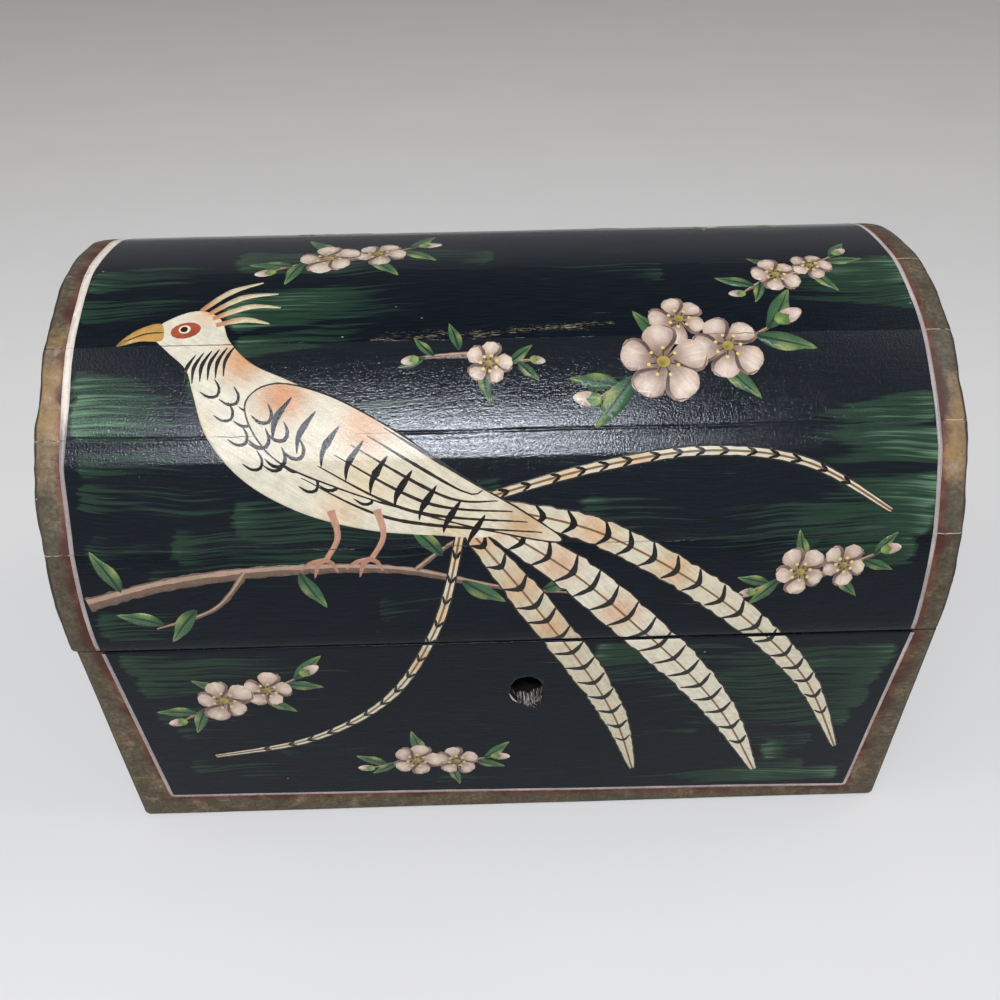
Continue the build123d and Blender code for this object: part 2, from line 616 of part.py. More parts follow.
# Lock
nodes["lock_case"] = lock_case()
nodes["lock_screws"] = group([placed(round_screw(), *place) for place in lock_screw_places()])
nodes["lock_studs"] = group([placed(stud(), (x, LOCK_BACK, z), (0, -1, 0)) for x, z in stud_places()])
nodes["lock_key_pin"] = placed(key_pin(), (KEYHOLE_X, LOCK_BACK, KEYHOLE_Z), (0, -1, 0))
nodes["lock_bolt"] = lock_bolt()
nodes["lock_spring"] = bolt_spring()
nodes["link_plate"] = link_plate()
nodes["link_screws"] = group([placed(round_screw(), *place) for place in link_screw_places()])

for name, shape in nodes.items():
    export_step(shape, f"parts/{name}.step")
    print(name, len(shape.solids()), round(shape.volume, 2))
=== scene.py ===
"""Looks of the painted trinket trunk: ground coat, painted decoration, wood, metal, light and camera."""
import bpy
import math
import random
from mathutils import Matrix, Vector, noise
from mathutils.geometry import delaunay_2d_cdt


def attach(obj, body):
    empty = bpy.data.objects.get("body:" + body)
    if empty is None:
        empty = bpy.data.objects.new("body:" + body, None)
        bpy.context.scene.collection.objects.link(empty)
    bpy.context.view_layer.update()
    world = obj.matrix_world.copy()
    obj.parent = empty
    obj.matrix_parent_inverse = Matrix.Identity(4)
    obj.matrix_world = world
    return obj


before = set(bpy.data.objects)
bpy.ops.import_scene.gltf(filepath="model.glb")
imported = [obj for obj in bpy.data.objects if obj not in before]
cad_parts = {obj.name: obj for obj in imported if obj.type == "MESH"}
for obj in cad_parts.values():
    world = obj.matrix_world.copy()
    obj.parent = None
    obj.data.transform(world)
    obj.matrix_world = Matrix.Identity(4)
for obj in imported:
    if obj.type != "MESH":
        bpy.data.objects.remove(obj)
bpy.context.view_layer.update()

# Sizes repeated from the part, in millimetres
MM = 0.001
LID_END = 101.5             # half the length of the lid
BASE_END = 100.5            # half the length of the base
END_BOARD = 101.0           # outer face of the lid's end boards
HALF_DEPTH = 67.0
BASE_TOP = 64.0
LID_FOOT = 64.3
SEAM = (BASE_TOP + LID_FOOT) / 2
SPRING = 67.1               # where the dome starts, also its centre's height
DOME = 67.0
STAVES = 9
LEAN = math.radians(10)
CHORD = DOME * math.cos(LEAN)
HALF_STAVE = DOME * math.sin(LEAN)
CROWN = 0.45
ARC = 2 * HALF_STAVE * (1 + 8 / 3 * (CROWN / (2 * HALF_STAVE)) ** 2)
DOME_END = SPRING + STAVES * ARC
WRAP = DOME_END + SPRING    # floor to floor over the lid
KEYHOLE = [(0.3, 46.3), (0.5, 48.6), (1.5, 50.3), (2.0, 51.4), (3.7, 51.7), (5.3, 52.2), (6.9, 51.2),
           (8.4, 50.6), (8.7, 48.7), (9.0, 46.9), (8.6, 45.2), (8.3, 43.5), (7.0, 42.4), (5.7, 42.2),
           (4.7, 41.6), (3.4, 42.6), (2.6, 42.9), (1.6, 44.0), (1.1, 45.2)]
KEYHOLE_MIDDLE = (4.6, 46.8)

# The paint
COAT = 0.2                  # gesso and ground colour, over the wood
PAINT = 0.07                # decoration, over the ground
TURNED_DOWN = 0.12          # its edges reach this far below the ground's surface
CORNER = 2.0                # radius of the rounded edges
RING = 7.2                  # how far a stave's sheet is carried over its ends
LID_BACK = 66.7             # the lid's sheets stop this high at the back
HINGE_ROOM = 61.3           # the base's sheets stop here at the back, clear of the open lid
CROWN_SPREAD = 2.6          # the lid's left end stands out this far over the crown,
LEFT_SPREAD = 0.4           # and the base's ends this far
RIGHT_SPREAD = 1.3

# White lines: distance from the middle or from an edge
LID_LINE = 95.1
LINE_SPREAD = 2.4           # the left one goes part of the way with the lid's end
WALL_LINE = 7.5
ARCH_LINE = 53.0
END_ARCH = 60.2             # radius of the paint on the lid's ends, inside the staves
BACK_LINE = BASE_END - WALL_LINE
SIDE_LINE = HALF_DEPTH - WALL_LINE


def linear(code):
    """An sRGB hex value as linear light."""
    parts = [int(code[i:i + 2], 16) / 255 for i in (1, 3, 5)]
    return tuple(p / 12.92 if p <= 0.04045 else ((p + 0.055) / 1.055) ** 2.4 for p in parts)


def rgba(code):
    return linear(code) + (1.0,)


def mix(a, b, t):
    t = max(0.0, min(1.0, t))
    return tuple(p + (q - p) * t for p, q in zip(a, b))


def ease(low, high, value):
    """0 below low, 1 above high and a smooth rise between them."""
    t = max(0.0, min(1.0, (value - low) / (high - low)))
    return t * t * (3 - 2 * t)


# Surfaces: the wrap runs up the front, over the lid and down the back

def section(s):
    """Place (y, z) and outward direction, s mm along the wrap."""
    if s <= SPRING:
        return -HALF_DEPTH, s, -1.0, 0.0
    if s >= DOME_END:
        return HALF_DEPTH, WRAP - s, 1.0, 0.0
    index = min(int((s - SPRING) / ARC), STAVES - 1)
    across = ((s - SPRING) / ARC - index - 0.5) * 2 * HALF_STAVE
    turn = (2 * index + 1) * LEAN
    out = CHORD + CROWN * (1 - (across / HALF_STAVE) ** 2)
    y = -out * math.cos(turn) + across * math.sin(turn)
    rise = out * math.sin(turn) + across * math.cos(turn)
    reach = math.hypot(y, rise)
    return y, SPRING + rise, y / reach, rise / reach


def ripple(u, v, seed):
    """Height of the hand-laid ground over its mean."""
    return 0.09 * noise.noise((u / 46, v / 38, seed)) + 0.03 * noise.noise((u / 13, v / 11, seed + 9))


PILLOW = [0.22, 0.12, 0.34, 0.24, 0.2, 0.22, 0.26, 0.24, 0.22]
FACET_TOP = SPRING + 2 * ARC     # the plane left a flat along the top of the second stave
FACET_FOOT = FACET_TOP - 4.0
FACET_DROP = 0.5
GROOVE = FACET_TOP + 1.8         # a level groove in the gesso over the joint


def pillow(s):
    """The staves' edges were rounded by sanding, so the ground bellies between the joints."""
    if not LID_FOOT < s < WRAP - LID_FOOT:
        return 0.0
    index = max(0, min(int((s - SPRING) / ARC), STAVES - 1))
    low = LID_FOOT if index == 0 else SPRING + index * ARC
    high = WRAP - LID_FOOT if index == STAVES - 1 else SPRING + (index + 1) * ARC
    height = PILLOW[index] * (1 - abs(2 * (s - low) / (high - low) - 1) ** 4)
    if index == 1:
        height += FACET_DROP * min((s - low) / (FACET_FOOT - low), (high - s) / (high - FACET_FOOT))
    return height


def groove(u, s):
    """Depth of the groove over the joint, which wanders and comes and goes."""
    if abs(s - GROOVE) > 1.2:
        return 0.0
    middle = GROOVE + 0.5 * noise.noise((u / 28, 3.0, 0.0))
    return (0.13 + 0.12 * noise.noise((u / 11, 5.0, 0.0))) * max(0.0, 1 - abs(s - middle) / 0.5)


def flare(v):
    """The lid spreads a little to the left over its crown."""
    return ease(132, 182, v) * (1 - ease(195, 245, v))


def stand_out(u, v, height):
    """How far the gesso on the ends stands out sideways."""
    if SEAM < v < WRAP - SEAM:
        if height < 0.02 - RING:
            return 0.0
        sawn = 0.45 + 0.6 * noise.noise((v / 12, u / 50, 2.0)) + 0.15 * noise.noise((v / 3, u, 5.0))
        left = CROWN_SPREAD * flare(v) * ease(97.0, 101.0, -u) if u < 0 else 0.0
        return sawn * ease(99.2, 101.0, abs(u)) + left
    if 0.1 < min(v, WRAP - v) < 63.95:
        return (LEFT_SPREAD if u < 0 else RIGHT_SPREAD) * ease(96.2, 98.4, abs(u))
    return 0.0


def place(face, u, v, height):
    """A point height mm over the ground coat's surface."""
    if face == "wrap":
        y, z, out_y, out_z = section(v)
        h = height + COAT + ripple(u, v, 0.0) + pillow(v) - (groove(u, v) if height <= 0 else 0.0)
        u += math.copysign(stand_out(u, v, height), u)
        return Vector((u, y + out_y * h, z + out_z * h)) * MM
    side = 1 if face == "right" else -1
    if side * u > HALF_DEPTH - CORNER - 0.1 and HINGE_ROOM < v < SEAM:
        v = HINGE_ROOM + 0.1 * (v - HINGE_ROOM)
    plane = END_BOARD if v > SEAM else BASE_END + stand_out(side * BASE_END, v, height)
    x = plane + height + COAT + ripple(u, v, 20.0 * side)
    return Vector((side * x, side * u, v)) * MM


# Mesh pieces

def finish_mesh(name, points, faces, body, material):
    """Makes a mesh piece with its finish, and says what it rides on."""
    mesh = bpy.data.meshes.new(name)
    mesh.from_pydata(points, [], faces)
    if mesh.validate():
        raise ValueError(f"{name} has faulty faces")
    mesh.polygons.foreach_set("use_smooth", [True] * len(mesh.polygons))
    mesh.materials.append(material)
    piece = bpy.data.objects.new(name, mesh)
    bpy.context.scene.collection.objects.link(piece)
    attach(piece, body)
    return piece


def point_values(piece, name, values):
    """Stores a number or a vector for each point."""
    if isinstance(values[0], float):
        data = piece.data.attributes.new(name, "FLOAT", "POINT").data
        data.foreach_set("value", values)
    else:
        data = piece.data.attributes.new(name, "FLOAT_VECTOR", "POINT").data
        data.foreach_set("vector", [x for value in values for x in value])


def inside(outline, u, v):
    """Whether (u, v) lies inside the outline."""
    hit = False
    for (ua, va), (ub, vb) in zip(outline, outline[1:] + outline[:1]):
        if (va > v) != (vb > v) and u < ua + (v - va) * (ub - ua) / (vb - va):
            hit = not hit
    return hit


def spread(start, end, step):
    """Even places from start to end, about a step apart."""
    count = max(1, round((end - start) / step))
    return [start + (end - start) * i / count for i in range(count + 1)]


# Green brush patches on the ground: where each starts (at its blunt end) and ends, its width and strength
WRAP_STROKES = [
    (-97, 157, -60, 160, 9, 0.5), (-97, 148, -62, 150, 8, 0.46), (-64, 167, -14, 163, 12, 0.55),
    (-63, 145, -16, 150, 12, 0.74), (-60, 137, -22, 140, 6, 0.6), (0, 166, -60, 173, 9, 0.45),
    (97, 158, 58, 152, 12, 0.74), (98, 147, 52, 150, 8, 0.55), (40, 158, 6, 163, 8, 0.3),
    (-95, 127, -70, 126, 6, 0.7), (-95, 120, -66, 119, 11, 0.86), (-70, 127, -40, 124, 8, 0.55),
    (-52, 118, -10, 120, 8, 0.62), (-93, 111, -58, 111, 6, 0.45), (-93, 102, -40, 101, 7, 0.4),
    (-60, 98, -6, 97, 9, 0.5), (-74, 92, 12, 92, 10, 0.42), (-93, 90, -56, 88, 8, 0.3),
    (-80, 83, -20, 82, 7, 0.24), (0, 103, -50, 106, 6, 0.3), (-94, 73, -66, 72, 9, 0.42),
    (16, 96, 50, 97, 9, 0.34), (-30, 75, 24, 74, 8, 0.22), (96, 118, 62, 115, 8, 0.68),
    (99, 110, 66, 109, 8, 0.84), (97, 101, 66, 101, 8, 0.8), (95, 93, 42, 96, 9, 0.68),
    (70, 90, 26, 88, 6, 0.32), (92, 86, 50, 84, 8, 0.6), (-92, 59, -30, 58, 8, 0.5),
    (-90, 51, -46, 52, 8, 0.46), (-88, 42, -52, 43, 7, 0.34), (-84, 34, -50, 33, 6, 0.26),
    (20, 60, 64, 59, 7, 0.62), (94, 57, 26, 55, 9, 0.56), (92, 49, 18, 48, 9, 0.55),
    (91, 41, 22, 41, 9, 0.5), (88, 34, 30, 35, 8, 0.44), (18, 53, 50, 52, 8, 0.42),
    (80, 26, 40, 28, 7, 0.34), (66, 22, 76, 22, 9, 0.66), (90, 10, 20, 9, 6, 0.72),
    (80, 15, 50, 13, 6, 0.5), (50, 30, 14, 29, 6, 0.28), (-60, 26, -20, 24, 7, 0.26),
    (-84, 20, -40, 16, 7, 0.3), (-20, 12, 20, 13, 5, 0.26), (96, 188, 38, 184, 12, 0.6),
    (-97, 190, -40, 186, 13, 0.66), (-20, 196, 30, 192, 9, 0.5), (-97, 210, -44, 214, 11, 0.7),
    (97, 214, 40, 209, 12, 0.62), (30, 224, -34, 221, 9, 0.46), (-97, 236, -40, 232, 12, 0.6),
    (97, 244, 46, 240, 12, 0.7), (24, 246, -36, 250, 8, 0.5), (-96, 262, -36, 259, 11, 0.62),
    (96, 268, 30, 264, 10, 0.56), (92, 292, 40, 290, 11, 0.66), (-92, 296, -34, 300, 12, 0.6),
    (90, 316, 30, 320, 12, 0.6), (-92, 324, -50, 322, 10, 0.7), (20, 306, -24, 310, 8, 0.42),
]
END_STROKES = [
    (-56, 52, -14, 50, 10, 0.66), (-57, 34, -20, 31, 11, 0.6), (-56, 16, -8, 18, 9, 0.55),
    (57, 44, 20, 46, 11, 0.7), (56, 22, 14, 20, 11, 0.6), (-50, 76, -8, 74, 9, 0.62),
    (50, 80, 12, 84, 10, 0.66), (-44, 94, -6, 92, 9, 0.55), (38, 102, 4, 99, 8, 0.55),
    (-24, 112, 8, 111, 6, 0.5),
]


def green_at(strokes, u, v):
    """How much green the brush left at a spot: fullest at the rounded, ragged start of a stroke."""
    most = 0.0
    for ua, va, ub, vb, width, strength in strokes:
        du, dv = ub - ua, vb - va
        span = math.hypot(du, dv)
        run = ((u - ua) * du + (v - va) * dv) / span
        if not -3 < run < 1.25 * span:
            continue
        bow = 1.1 * math.sin(3 * run / span + va)
        away = abs(((u - ua) * dv - (v - va) * du) / span + bow) / (width / 2)
        if away < 1.3:
            start = 0.2 * width * away * away + 1.6 * noise.noise((v * 0.8, ua, 4.0))
            body = (ease(start - 0.6, start + 1.4, run) * (1 - ease(0.7, 1.25, away)) *
                    (1 - ease(0.3 * span, 1.2 * span, run)))
            most = max(most, body * (strength + 0.22 * (1 - ease(start, start + 9, run))))
    return most


def wear_at(u, v):
    """Wear of the paint on the arris over the third stave, rising a little to the right."""
    line = 138.4 + max(0.0, u + 15) * 0.052
    reach = ease(-36, -26, u) * (1 - ease(18, 40, u))
    return reach * (1 - ease(0.3, 1.0, abs(v - line) / 2.8)) * (0.8 + 0.5 * noise.noise((u / 7, v, 8.0)))


def lid_line(u, v):
    """Distance of the lid's white line from the middle: the left one spreads with the lid's end."""
    return LID_LINE + (LINE_SPREAD * ease(118, 180, v) * (1 - ease(195, 245, v)) if u < 0 else 0.0)


def marks(face, u, v, drop):
    """The green, the distance past the white line and from the arris, the wear, and the border's rubbed gold
    with its painted sheen.
    """
    wear = 0.0
    gold_and_sheen = 0.3 + 0.3 * noise.noise((u / 20, v / 20, 6.0))
    if face == "wrap":
        green = green_at(WRAP_STROKES, u, v)
        if v < SEAM:
            # The front's white line leans outwards as it rises, and its foot falls a little to the right
            left = -91.1 - 3.2 * (v - 8.6) / 55.4
            right = 92.2 + 3.4 * (v - 5.0) / 59.0
            rim = max(left - u, u - right, 6.8 - 0.0197 * u - v)
            edge = min(BASE_END - abs(u), v)
            gold_and_sheen = 0.4 * gold_and_sheen + 0.1
        elif v < WRAP - SEAM:
            rim = abs(u) - lid_line(u, v)
            edge = LID_END - abs(u)
            wear = wear_at(u, v)
            # On the lid's ends the border is lightest in a band level with the lamp's highlight: rubbed gold
            # with painted sheen
            middle, half = (124, 27) if u < 0 else (113, 19)
            gold_and_sheen = 0.1 + 0.9 * (1 - ease(0.0, 1.0, abs(min(v, WRAP - v) - middle) / half))
        else:
            rim = max(abs(u) - BACK_LINE, v - WRAP + WALL_LINE)
            edge = min(BASE_END - abs(u), WRAP - v)
    else:
        green = green_at(END_STROKES, u, v)
        if v < SEAM:
            rim = max(abs(u) - SIDE_LINE, WALL_LINE - v)
            edge = min(HALF_DEPTH - abs(u), v)
        else:
            reach = math.hypot(u, max(0.0, v - SPRING))
            rim = max(reach, abs(u)) - ARCH_LINE
            edge = DOME - reach
    return green, rim + drop, abs(edge - drop), wear, gold_and_sheen


def store_marks(piece, face, spots, seed):
    """Gives the ground's material its marks at each point, and where it is in mm, unrolled over the edges."""
    values = [marks(face, u, v, drop) for u, v, drop in spots]
    point_values(piece, "mm", [(u + math.copysign(drop, u), v, seed) for u, v, drop in spots])
    for k, key in enumerate(("green", "rim", "edge", "wear", "gold_and_sheen")):
        point_values(piece, key, [float(value[k]) for value in values])


def coat(name, face, columns, rows, body, seed, hole=None):
    """A sheet of ground colour on a grid of (place, drop) columns and rows, cut round a hole."""
    spots = [(u, v, du + dv) for v, dv in rows for u, du in columns]
    wide = len(columns)
    faces = []
    patch = None
    if hole:
        us, vs = [p[0] for p in hole], [p[1] for p in hole]
        inner = [i for i, (u, d) in enumerate(columns) if min(us) - 2 < u < max(us) + 2]
        tall = [j for j, (v, d) in enumerate(rows) if min(vs) - 2 < v < max(vs) + 2]
        patch = inner[0], inner[-1], tall[0], tall[-1]
    for j in range(len(rows) - 1):
        for i in range(wide - 1):
            if patch and patch[0] <= i < patch[1] and patch[2] <= j < patch[3]:
                continue
            a = j * wide + i
            faces.append((a, a + 1, a + wide + 1, a + wide))
    if hole:
        left, right, low, high = patch
        ring = [low * wide + i for i in range(left, right)] + [j * wide + right for j in range(low, high)]
        ring += [high * wide + i for i in range(right, left, -1)]
        ring += [j * wide + left for j in range(high, low, -1)]
        middle_u, middle_v = sum(us) / len(us), sum(vs) / len(vs)
        lip, collar, torn = ([(u + (u - middle_u) * out, v + (v - middle_v) * out, drop) for u, v in hole]
                             for out, drop in ((0.0, 0.0), (0.08, 0.0), (-0.07, 0.9)))
        start = len(spots)
        spots += lip + collar + torn
        flat = [Vector(spots[k][:2]) for k in ring] + [Vector(p[:2]) for p in lip + collar]
        count, holes = len(ring), len(hole)
        edges = [(k, (k + 1) % count) for k in range(count)]
        edges += [(count + first + k, count + first + (k + 1) % holes)
                  for k in range(holes) for first in (0, holes)]
        out = delaunay_2d_cdt(flat, edges, [], 0, 1e-6, True)
        names = [source[0] for source in out[3]]
        for triangle in out[2]:
            middle = sum((out[0][k] for k in triangle), Vector((0, 0))) / 3
            if not inside(hole, middle.x, middle.y):
                ids = [names[k] for k in triangle]
                faces.append([ring[k] if k < count else start + k - count for k in ids])
        for k in range(holes):
            after = (k + 1) % holes
            faces.append((start + k, start + 2 * holes + k, start + 2 * holes + after, start + after))
    points = [place(face, u, v, -drop) for u, v, drop in spots]
    paint = shellacked_paint if face == "wrap" and SPRING + ARC <= rows[0][0] < GROOVE else rubbed_paint
    piece = finish_mesh(name, points, faces, body, paint)
    store_marks(piece, face, spots, seed)


# Painted decoration: outlines in face coordinates, laid over the ground as thin sheets of paint

def curve(points, closed=False, step=1.1):
    """Points along a smooth line through the given ones."""
    count = len(points)
    line = []
    for k in range(count if closed else count - 1):
        if closed:
            a, b, c, d = (points[(k + i) % count] for i in (-1, 0, 1, 2))
        else:
            a, b, c, d = (points[max(0, min(count - 1, k + i))] for i in (-1, 0, 1, 2))
        steps = max(1, round(math.dist(b, c) / step))
        for n in range(steps):
            t = n / steps
            line.append(tuple(0.5 * (2 * q + (r - p) * t + (2 * p - 5 * q + 4 * r - s) * t * t +
                                     (3 * q - p - 3 * r + s) * t ** 3) for p, q, r, s in zip(a, b, c, d)))
    return line if closed else line + [tuple(points[-1])]


def along(values, share):
    """The value at a share of the way through a list."""
    at = share * (len(values) - 1)
    k = min(int(at), len(values) - 2)
    return values[k] + (values[k + 1] - values[k]) * (at - k)


def ribbon(points, widths, step=1.1, shake=0.0):
    """Outline of a brush stroke; its widths are given at even steps along it."""
    line = curve(points, False, step)
    left, right = [], []
    for k, (u, v) in enumerate(line):
        (ua, va), (ub, vb) = line[max(0, k - 1)], line[min(len(line) - 1, k + 1)]
        length = math.dist((ua, va), (ub, vb)) or 1.0
        half = max(0.06, along(widths, k / (len(line) - 1)) / 2)
        half *= 1 + shake * noise.noise((u * 0.7, v * 0.7, 3.0))
        nu, nv = -(vb - va) / length * half, (ub - ua) / length * half
        left.append((u + nu, v + nv))
        right.append((u - nu, v - nv))
    return left + right[::-1]


def oval(u, v, wide, tall, turn=0.0, count=14):
    angles = [2 * math.pi * k / count for k in range(count)]
    return moved([(wide * math.cos(a), tall * math.sin(a)) for a in angles], u, v, turn)


def moved(outline, u, v, turn=0.0, scale=1.0):
    """The outline turned and scaled about its own (0, 0), which then goes to (u, v)."""
    c, s = math.cos(turn) * scale, math.sin(turn) * scale
    return [(u + p * c - q * s, v + p * s + q * c) for p, q in outline]


def wash(code, *spots):
    """A colour with soft spots of other colours: (colour, u, v, radius, strength)."""
    def tint(u, v):
        shade = linear(code)
        for other, cu, cv, radius, strength in spots:
            shade = mix(shade, linear(other), strength * (1 - ease(0.0, radius, math.dist((u, v), (cu, cv)))))
        return shade
    return tint


def anticlockwise(outline):
    """The outline without doubled points, running anticlockwise."""
    clean = [p for p, q in zip(outline, outline[1:] + outline[:1]) if math.dist(p, q) > 0.02]
    area = sum(p[0] * q[1] - q[0] * p[1] for p, q in zip(clean, clean[1:] + clean[:1]))
    return clean if area > 0 else clean[::-1]


def painted(name, face, shapes, step=2.0):
    """Thin sheets of paint over a face: (outline, tint, grain direction) in painting order."""
    shapes = [(anticlockwise(outline), tint, grain) for outline, tint, grain in shapes]
    flat, loops = [], []
    for outline, tint, grain in shapes:
        loops.append(list(range(len(flat), len(flat) + len(outline))))
        flat += [Vector(p) for p in outline]
    us, vs = [p.x for p in flat], [p.y for p in flat]
    boxes = [(min(p[0] for p in o), max(p[0] for p in o), min(p[1] for p in o), max(p[1] for p in o))
             for o, tint, grain in shapes]
    # The sheet is cut along the seams and folds with the staves
    edges = []
    levels = [SEAM - 0.62, SEAM + 0.65]
    if face == "wrap":
        levels += [SPRING + k * ARC + d for k in range(STAVES + 1) for d in (-1.0, 0.0, 1.0)]
        levels += [FACET_FOOT, WRAP - SEAM - 0.65, WRAP - SEAM + 0.62]
    for level in levels:
        if min(vs) < level < max(vs):
            line = spread(min(us) - 1, max(us) + 1, step)
            edges += [(len(flat) + k, len(flat) + k + 1) for k in range(len(line) - 1)]
            flat += [Vector((u, level)) for u in line]
    row = 0
    v = min(vs) + step / 2
    while v < max(vs):
        u = min(us) + (step / 2 if row % 2 else 0.0)
        while u < max(us):
            near = [shape for shape, (ua, ub, va, vb) in zip(shapes, boxes) if ua < u < ub and va < v < vb]
            if any(inside(outline, u, v) for outline, tint, grain in near):
                flat.append(Vector((u, v)))
            u += step
        v += step * 0.87
        row += 1
    points, _, triangles, _, _, owners = delaunay_2d_cdt(flat, edges, loops, 0, 1e-3, True)
    seams = [SEAM, WRAP - SEAM] if face == "wrap" else [SEAM]
    groups = {}
    for triangle, owner in zip(triangles, owners):
        middle = sum((points[k] for k in triangle), Vector((0, 0))) / len(triangle)
        if owner and all(abs(middle.y - seam) >= 0.6 for seam in seams):
            body = "lid" if seams[0] < middle.y < (seams + [9999])[1] else "base"
            groups.setdefault(body, []).append((triangle, max(owner)))
    for body, chosen in groups.items():
        paint_sheet(f"{name}_{body}", face, body, points, chosen, shapes)


def paint_sheet(name, face, body, points, chosen, shapes):
    """One body's share of the paint, with its edges turned down into the ground."""
    used, spots, faces, owners, seen = {}, [], [], [], {}
    for triangle, owner in chosen:
        ids = []
        for k in triangle:
            if k not in used:
                used[k] = len(spots)
                spots.append((points[k].x, points[k].y, PAINT))
            ids.append(used[k])
        faces.append(ids)
        owners.append(owner)
        for a, b in zip(ids, ids[1:] + ids[:1]):
            seen.setdefault((min(a, b), max(a, b)), []).append((a, b, owner))
    below = {}
    for uses in seen.values():
        if len(uses) == 1:
            a, b, owner = uses[0]
            for k in (a, b):
                if k not in below:
                    below[k] = len(spots)
                    spots.append((spots[k][0], spots[k][1], -TURNED_DOWN))
            faces.append([b, a, below[a], below[b]])
            owners.append(owner)
    piece = finish_mesh(name, [place(face, *p) for p in spots], faces, body, hand_paint)
    colours, grains = [], []
    for polygon, owner in zip(piece.data.polygons, owners):
        outline, tint, grain = shapes[owner]
        c, s = math.cos(grain), math.sin(grain)
        for k in polygon.vertices:
            u, v, height = spots[k]
            colours += [*tint(u, v), 1.0]
            grains += [u * c + v * s, -u * s + v * c, owner * 3.7]
    piece.data.attributes.new("tint", "FLOAT_COLOR", "CORNER").data.foreach_set("color", colours)
    piece.data.attributes.new("grain", "FLOAT_VECTOR", "CORNER").data.foreach_set("vector", grains)
    point_values(piece, "mm", [(u, v, 0.0) for u, v, height in spots])


def brush(points, widths, code, grain, step=1.1, shake=0.0):
    """A brush line in one colour."""
    return ribbon(points, widths, step, shake), wash(code), grain


def petal(size):
    """A rounded petal that grows along +U from its foot."""
    return curve([(0.4, 0.0), (2.4, -1.9), (5.4, -3.6), (7.9, -2.6), (8.3, -0.5), (8.0, 1.8), (5.6, 3.5),
                  (2.5, 1.8)], True, 1.3 / size)


def blossom(u, v, size, turn, draw):
    """Five overlapping petals, brown at the foot and pale at the rim, round a small yellow eye."""
    shapes = []
    for k in range(5):
        angle = turn + 2 * math.pi * k / 5 + draw.uniform(-0.12, 0.12)
        long = size * draw.uniform(0.88, 1.1)
        rim, side = moved([(6.2, 0.0), (5.0, -4.2)], u, v, angle, long)
        pale = draw.choice(["#c4a994", "#bda28e", "#cbb29b", "#b59a87"])
        tint = wash(pale, ("#e7d5c2", *rim, 3.4 * long, 0.75), ("#5f443a", u, v, 6.2 * long, 0.9),
                    ("#5c463e", *side, 3.4 * long, 0.8))
        shapes.append((moved(petal(long), u, v, angle, long), tint, angle))
        edge = [(r * math.cos(a), r * math.sin(a))
                for a, r in ((-0.12, 2.0), (-0.55, 5.2), (-0.42, 7.6), (-0.12, 8.3))]
        edge = moved(edge, u, v, angle, long)
        tint = wash("#5b463d", ("#8d7264", *edge[2], 3.0, 0.8))
        shapes.append((ribbon(edge, [0.5, 0.9, 0.7, 0.1]), tint, angle))
    for k in range(7):
        angle = turn + 0.3 + 2 * math.pi * k / 7
        tip = (u + math.cos(angle) * 3.0 * size, v + math.sin(angle) * 3.0 * size)
        shapes.append(brush([(u, v), tip], [0.3, 0.25], "#3c2a22", angle))
        shapes.append((oval(*tip, 0.42, 0.42, 0, 7), wash("#d9bf6a"), angle))
    tint = wash("#a98f3e", ("#5d6a2e", u - 0.4, v - 0.4, 1.2, 0.8))
    return shapes + [(oval(u, v, 1.35 * size, 1.2 * size), tint, turn)]


def bud(u, v, size, angle):
    """A pale bud in a green cup."""
    outline = [(0, -0.9), (2.6, -2.1), (5.6, -1.2), (6.8, 0.2), (5.4, 1.6), (2.4, 2.1), (0, 0.9)]
    outline = moved(curve(outline, True, 1.2), u, v, angle, size)
    cup = [(-0.8, -0.8), (1.6, -2.2), (2.6, -0.6), (3.4, 0.2), (2.4, 1.0), (1.4, 2.2), (-0.8, 0.8)]
    cup = moved(curve(cup, True, 1.1), u, v, angle, size)
    tip = (u + math.cos(angle) * 6 * size, v + math.sin(angle) * 6 * size)
    pale = wash("#c9ae9b", ("#e6d3bf", *tip, 3.5, 0.8), ("#694c40", u, v, 4.5, 0.8))
    green = wash("#53703a", ("#a5b25a", u, v, 1.8, 0.6))
    return [(outline, pale, angle), (cup, green, angle)]


def leaf(u, v, size, angle, bend=0.15):
    """A pointed leaf, dark along its rib and yellow-green at its lower edge."""
    outline = curve([(0, 0), (3.2, -1.9), (7.4, -2.3 + bend * 4), (11.4, -0.8 + bend * 9), (14.2, bend * 14),
                     (11.0, 1.5 + bend * 9), (7.0, 2.4 + bend * 4), (3.0, 1.7)], True, 1.3 / size)
    rib = moved([(0.5, 0.0), (7.2, bend * 4), (13.0, bend * 12.5)], u, v, angle, size)
    lower, tip = moved([(7.0, -3.0), (14.0, bend * 14)], u, v, angle, size)
    green = wash("#3a5c3a", ("#a5a95f", *lower, 4.2 * size, 0.85), ("#7f9353", *tip, 5.0 * size, 0.7),
                 ("#213f2a", u, v, 5.0 * size, 0.85))
    return [(moved(outline, u, v, angle, size), green, angle), brush(rib, [0.6, 0.45, 0.1], "#1c2f20", angle)]


def twig(points, widths):
    """A branch with a pale upper side."""
    angle = math.atan2(points[-1][1] - points[0][1], points[-1][0] - points[0][0])
    high = [(u, v + along(widths, k / (len(points) - 1)) * 0.22) for k, (u, v) in enumerate(points)]
    return [brush(points, widths, "#6d5546", angle, 1.3, 0.35),
            brush(high, [w * 0.35 for w in widths], "#a98c76", angle, 1.5, 0.4)]


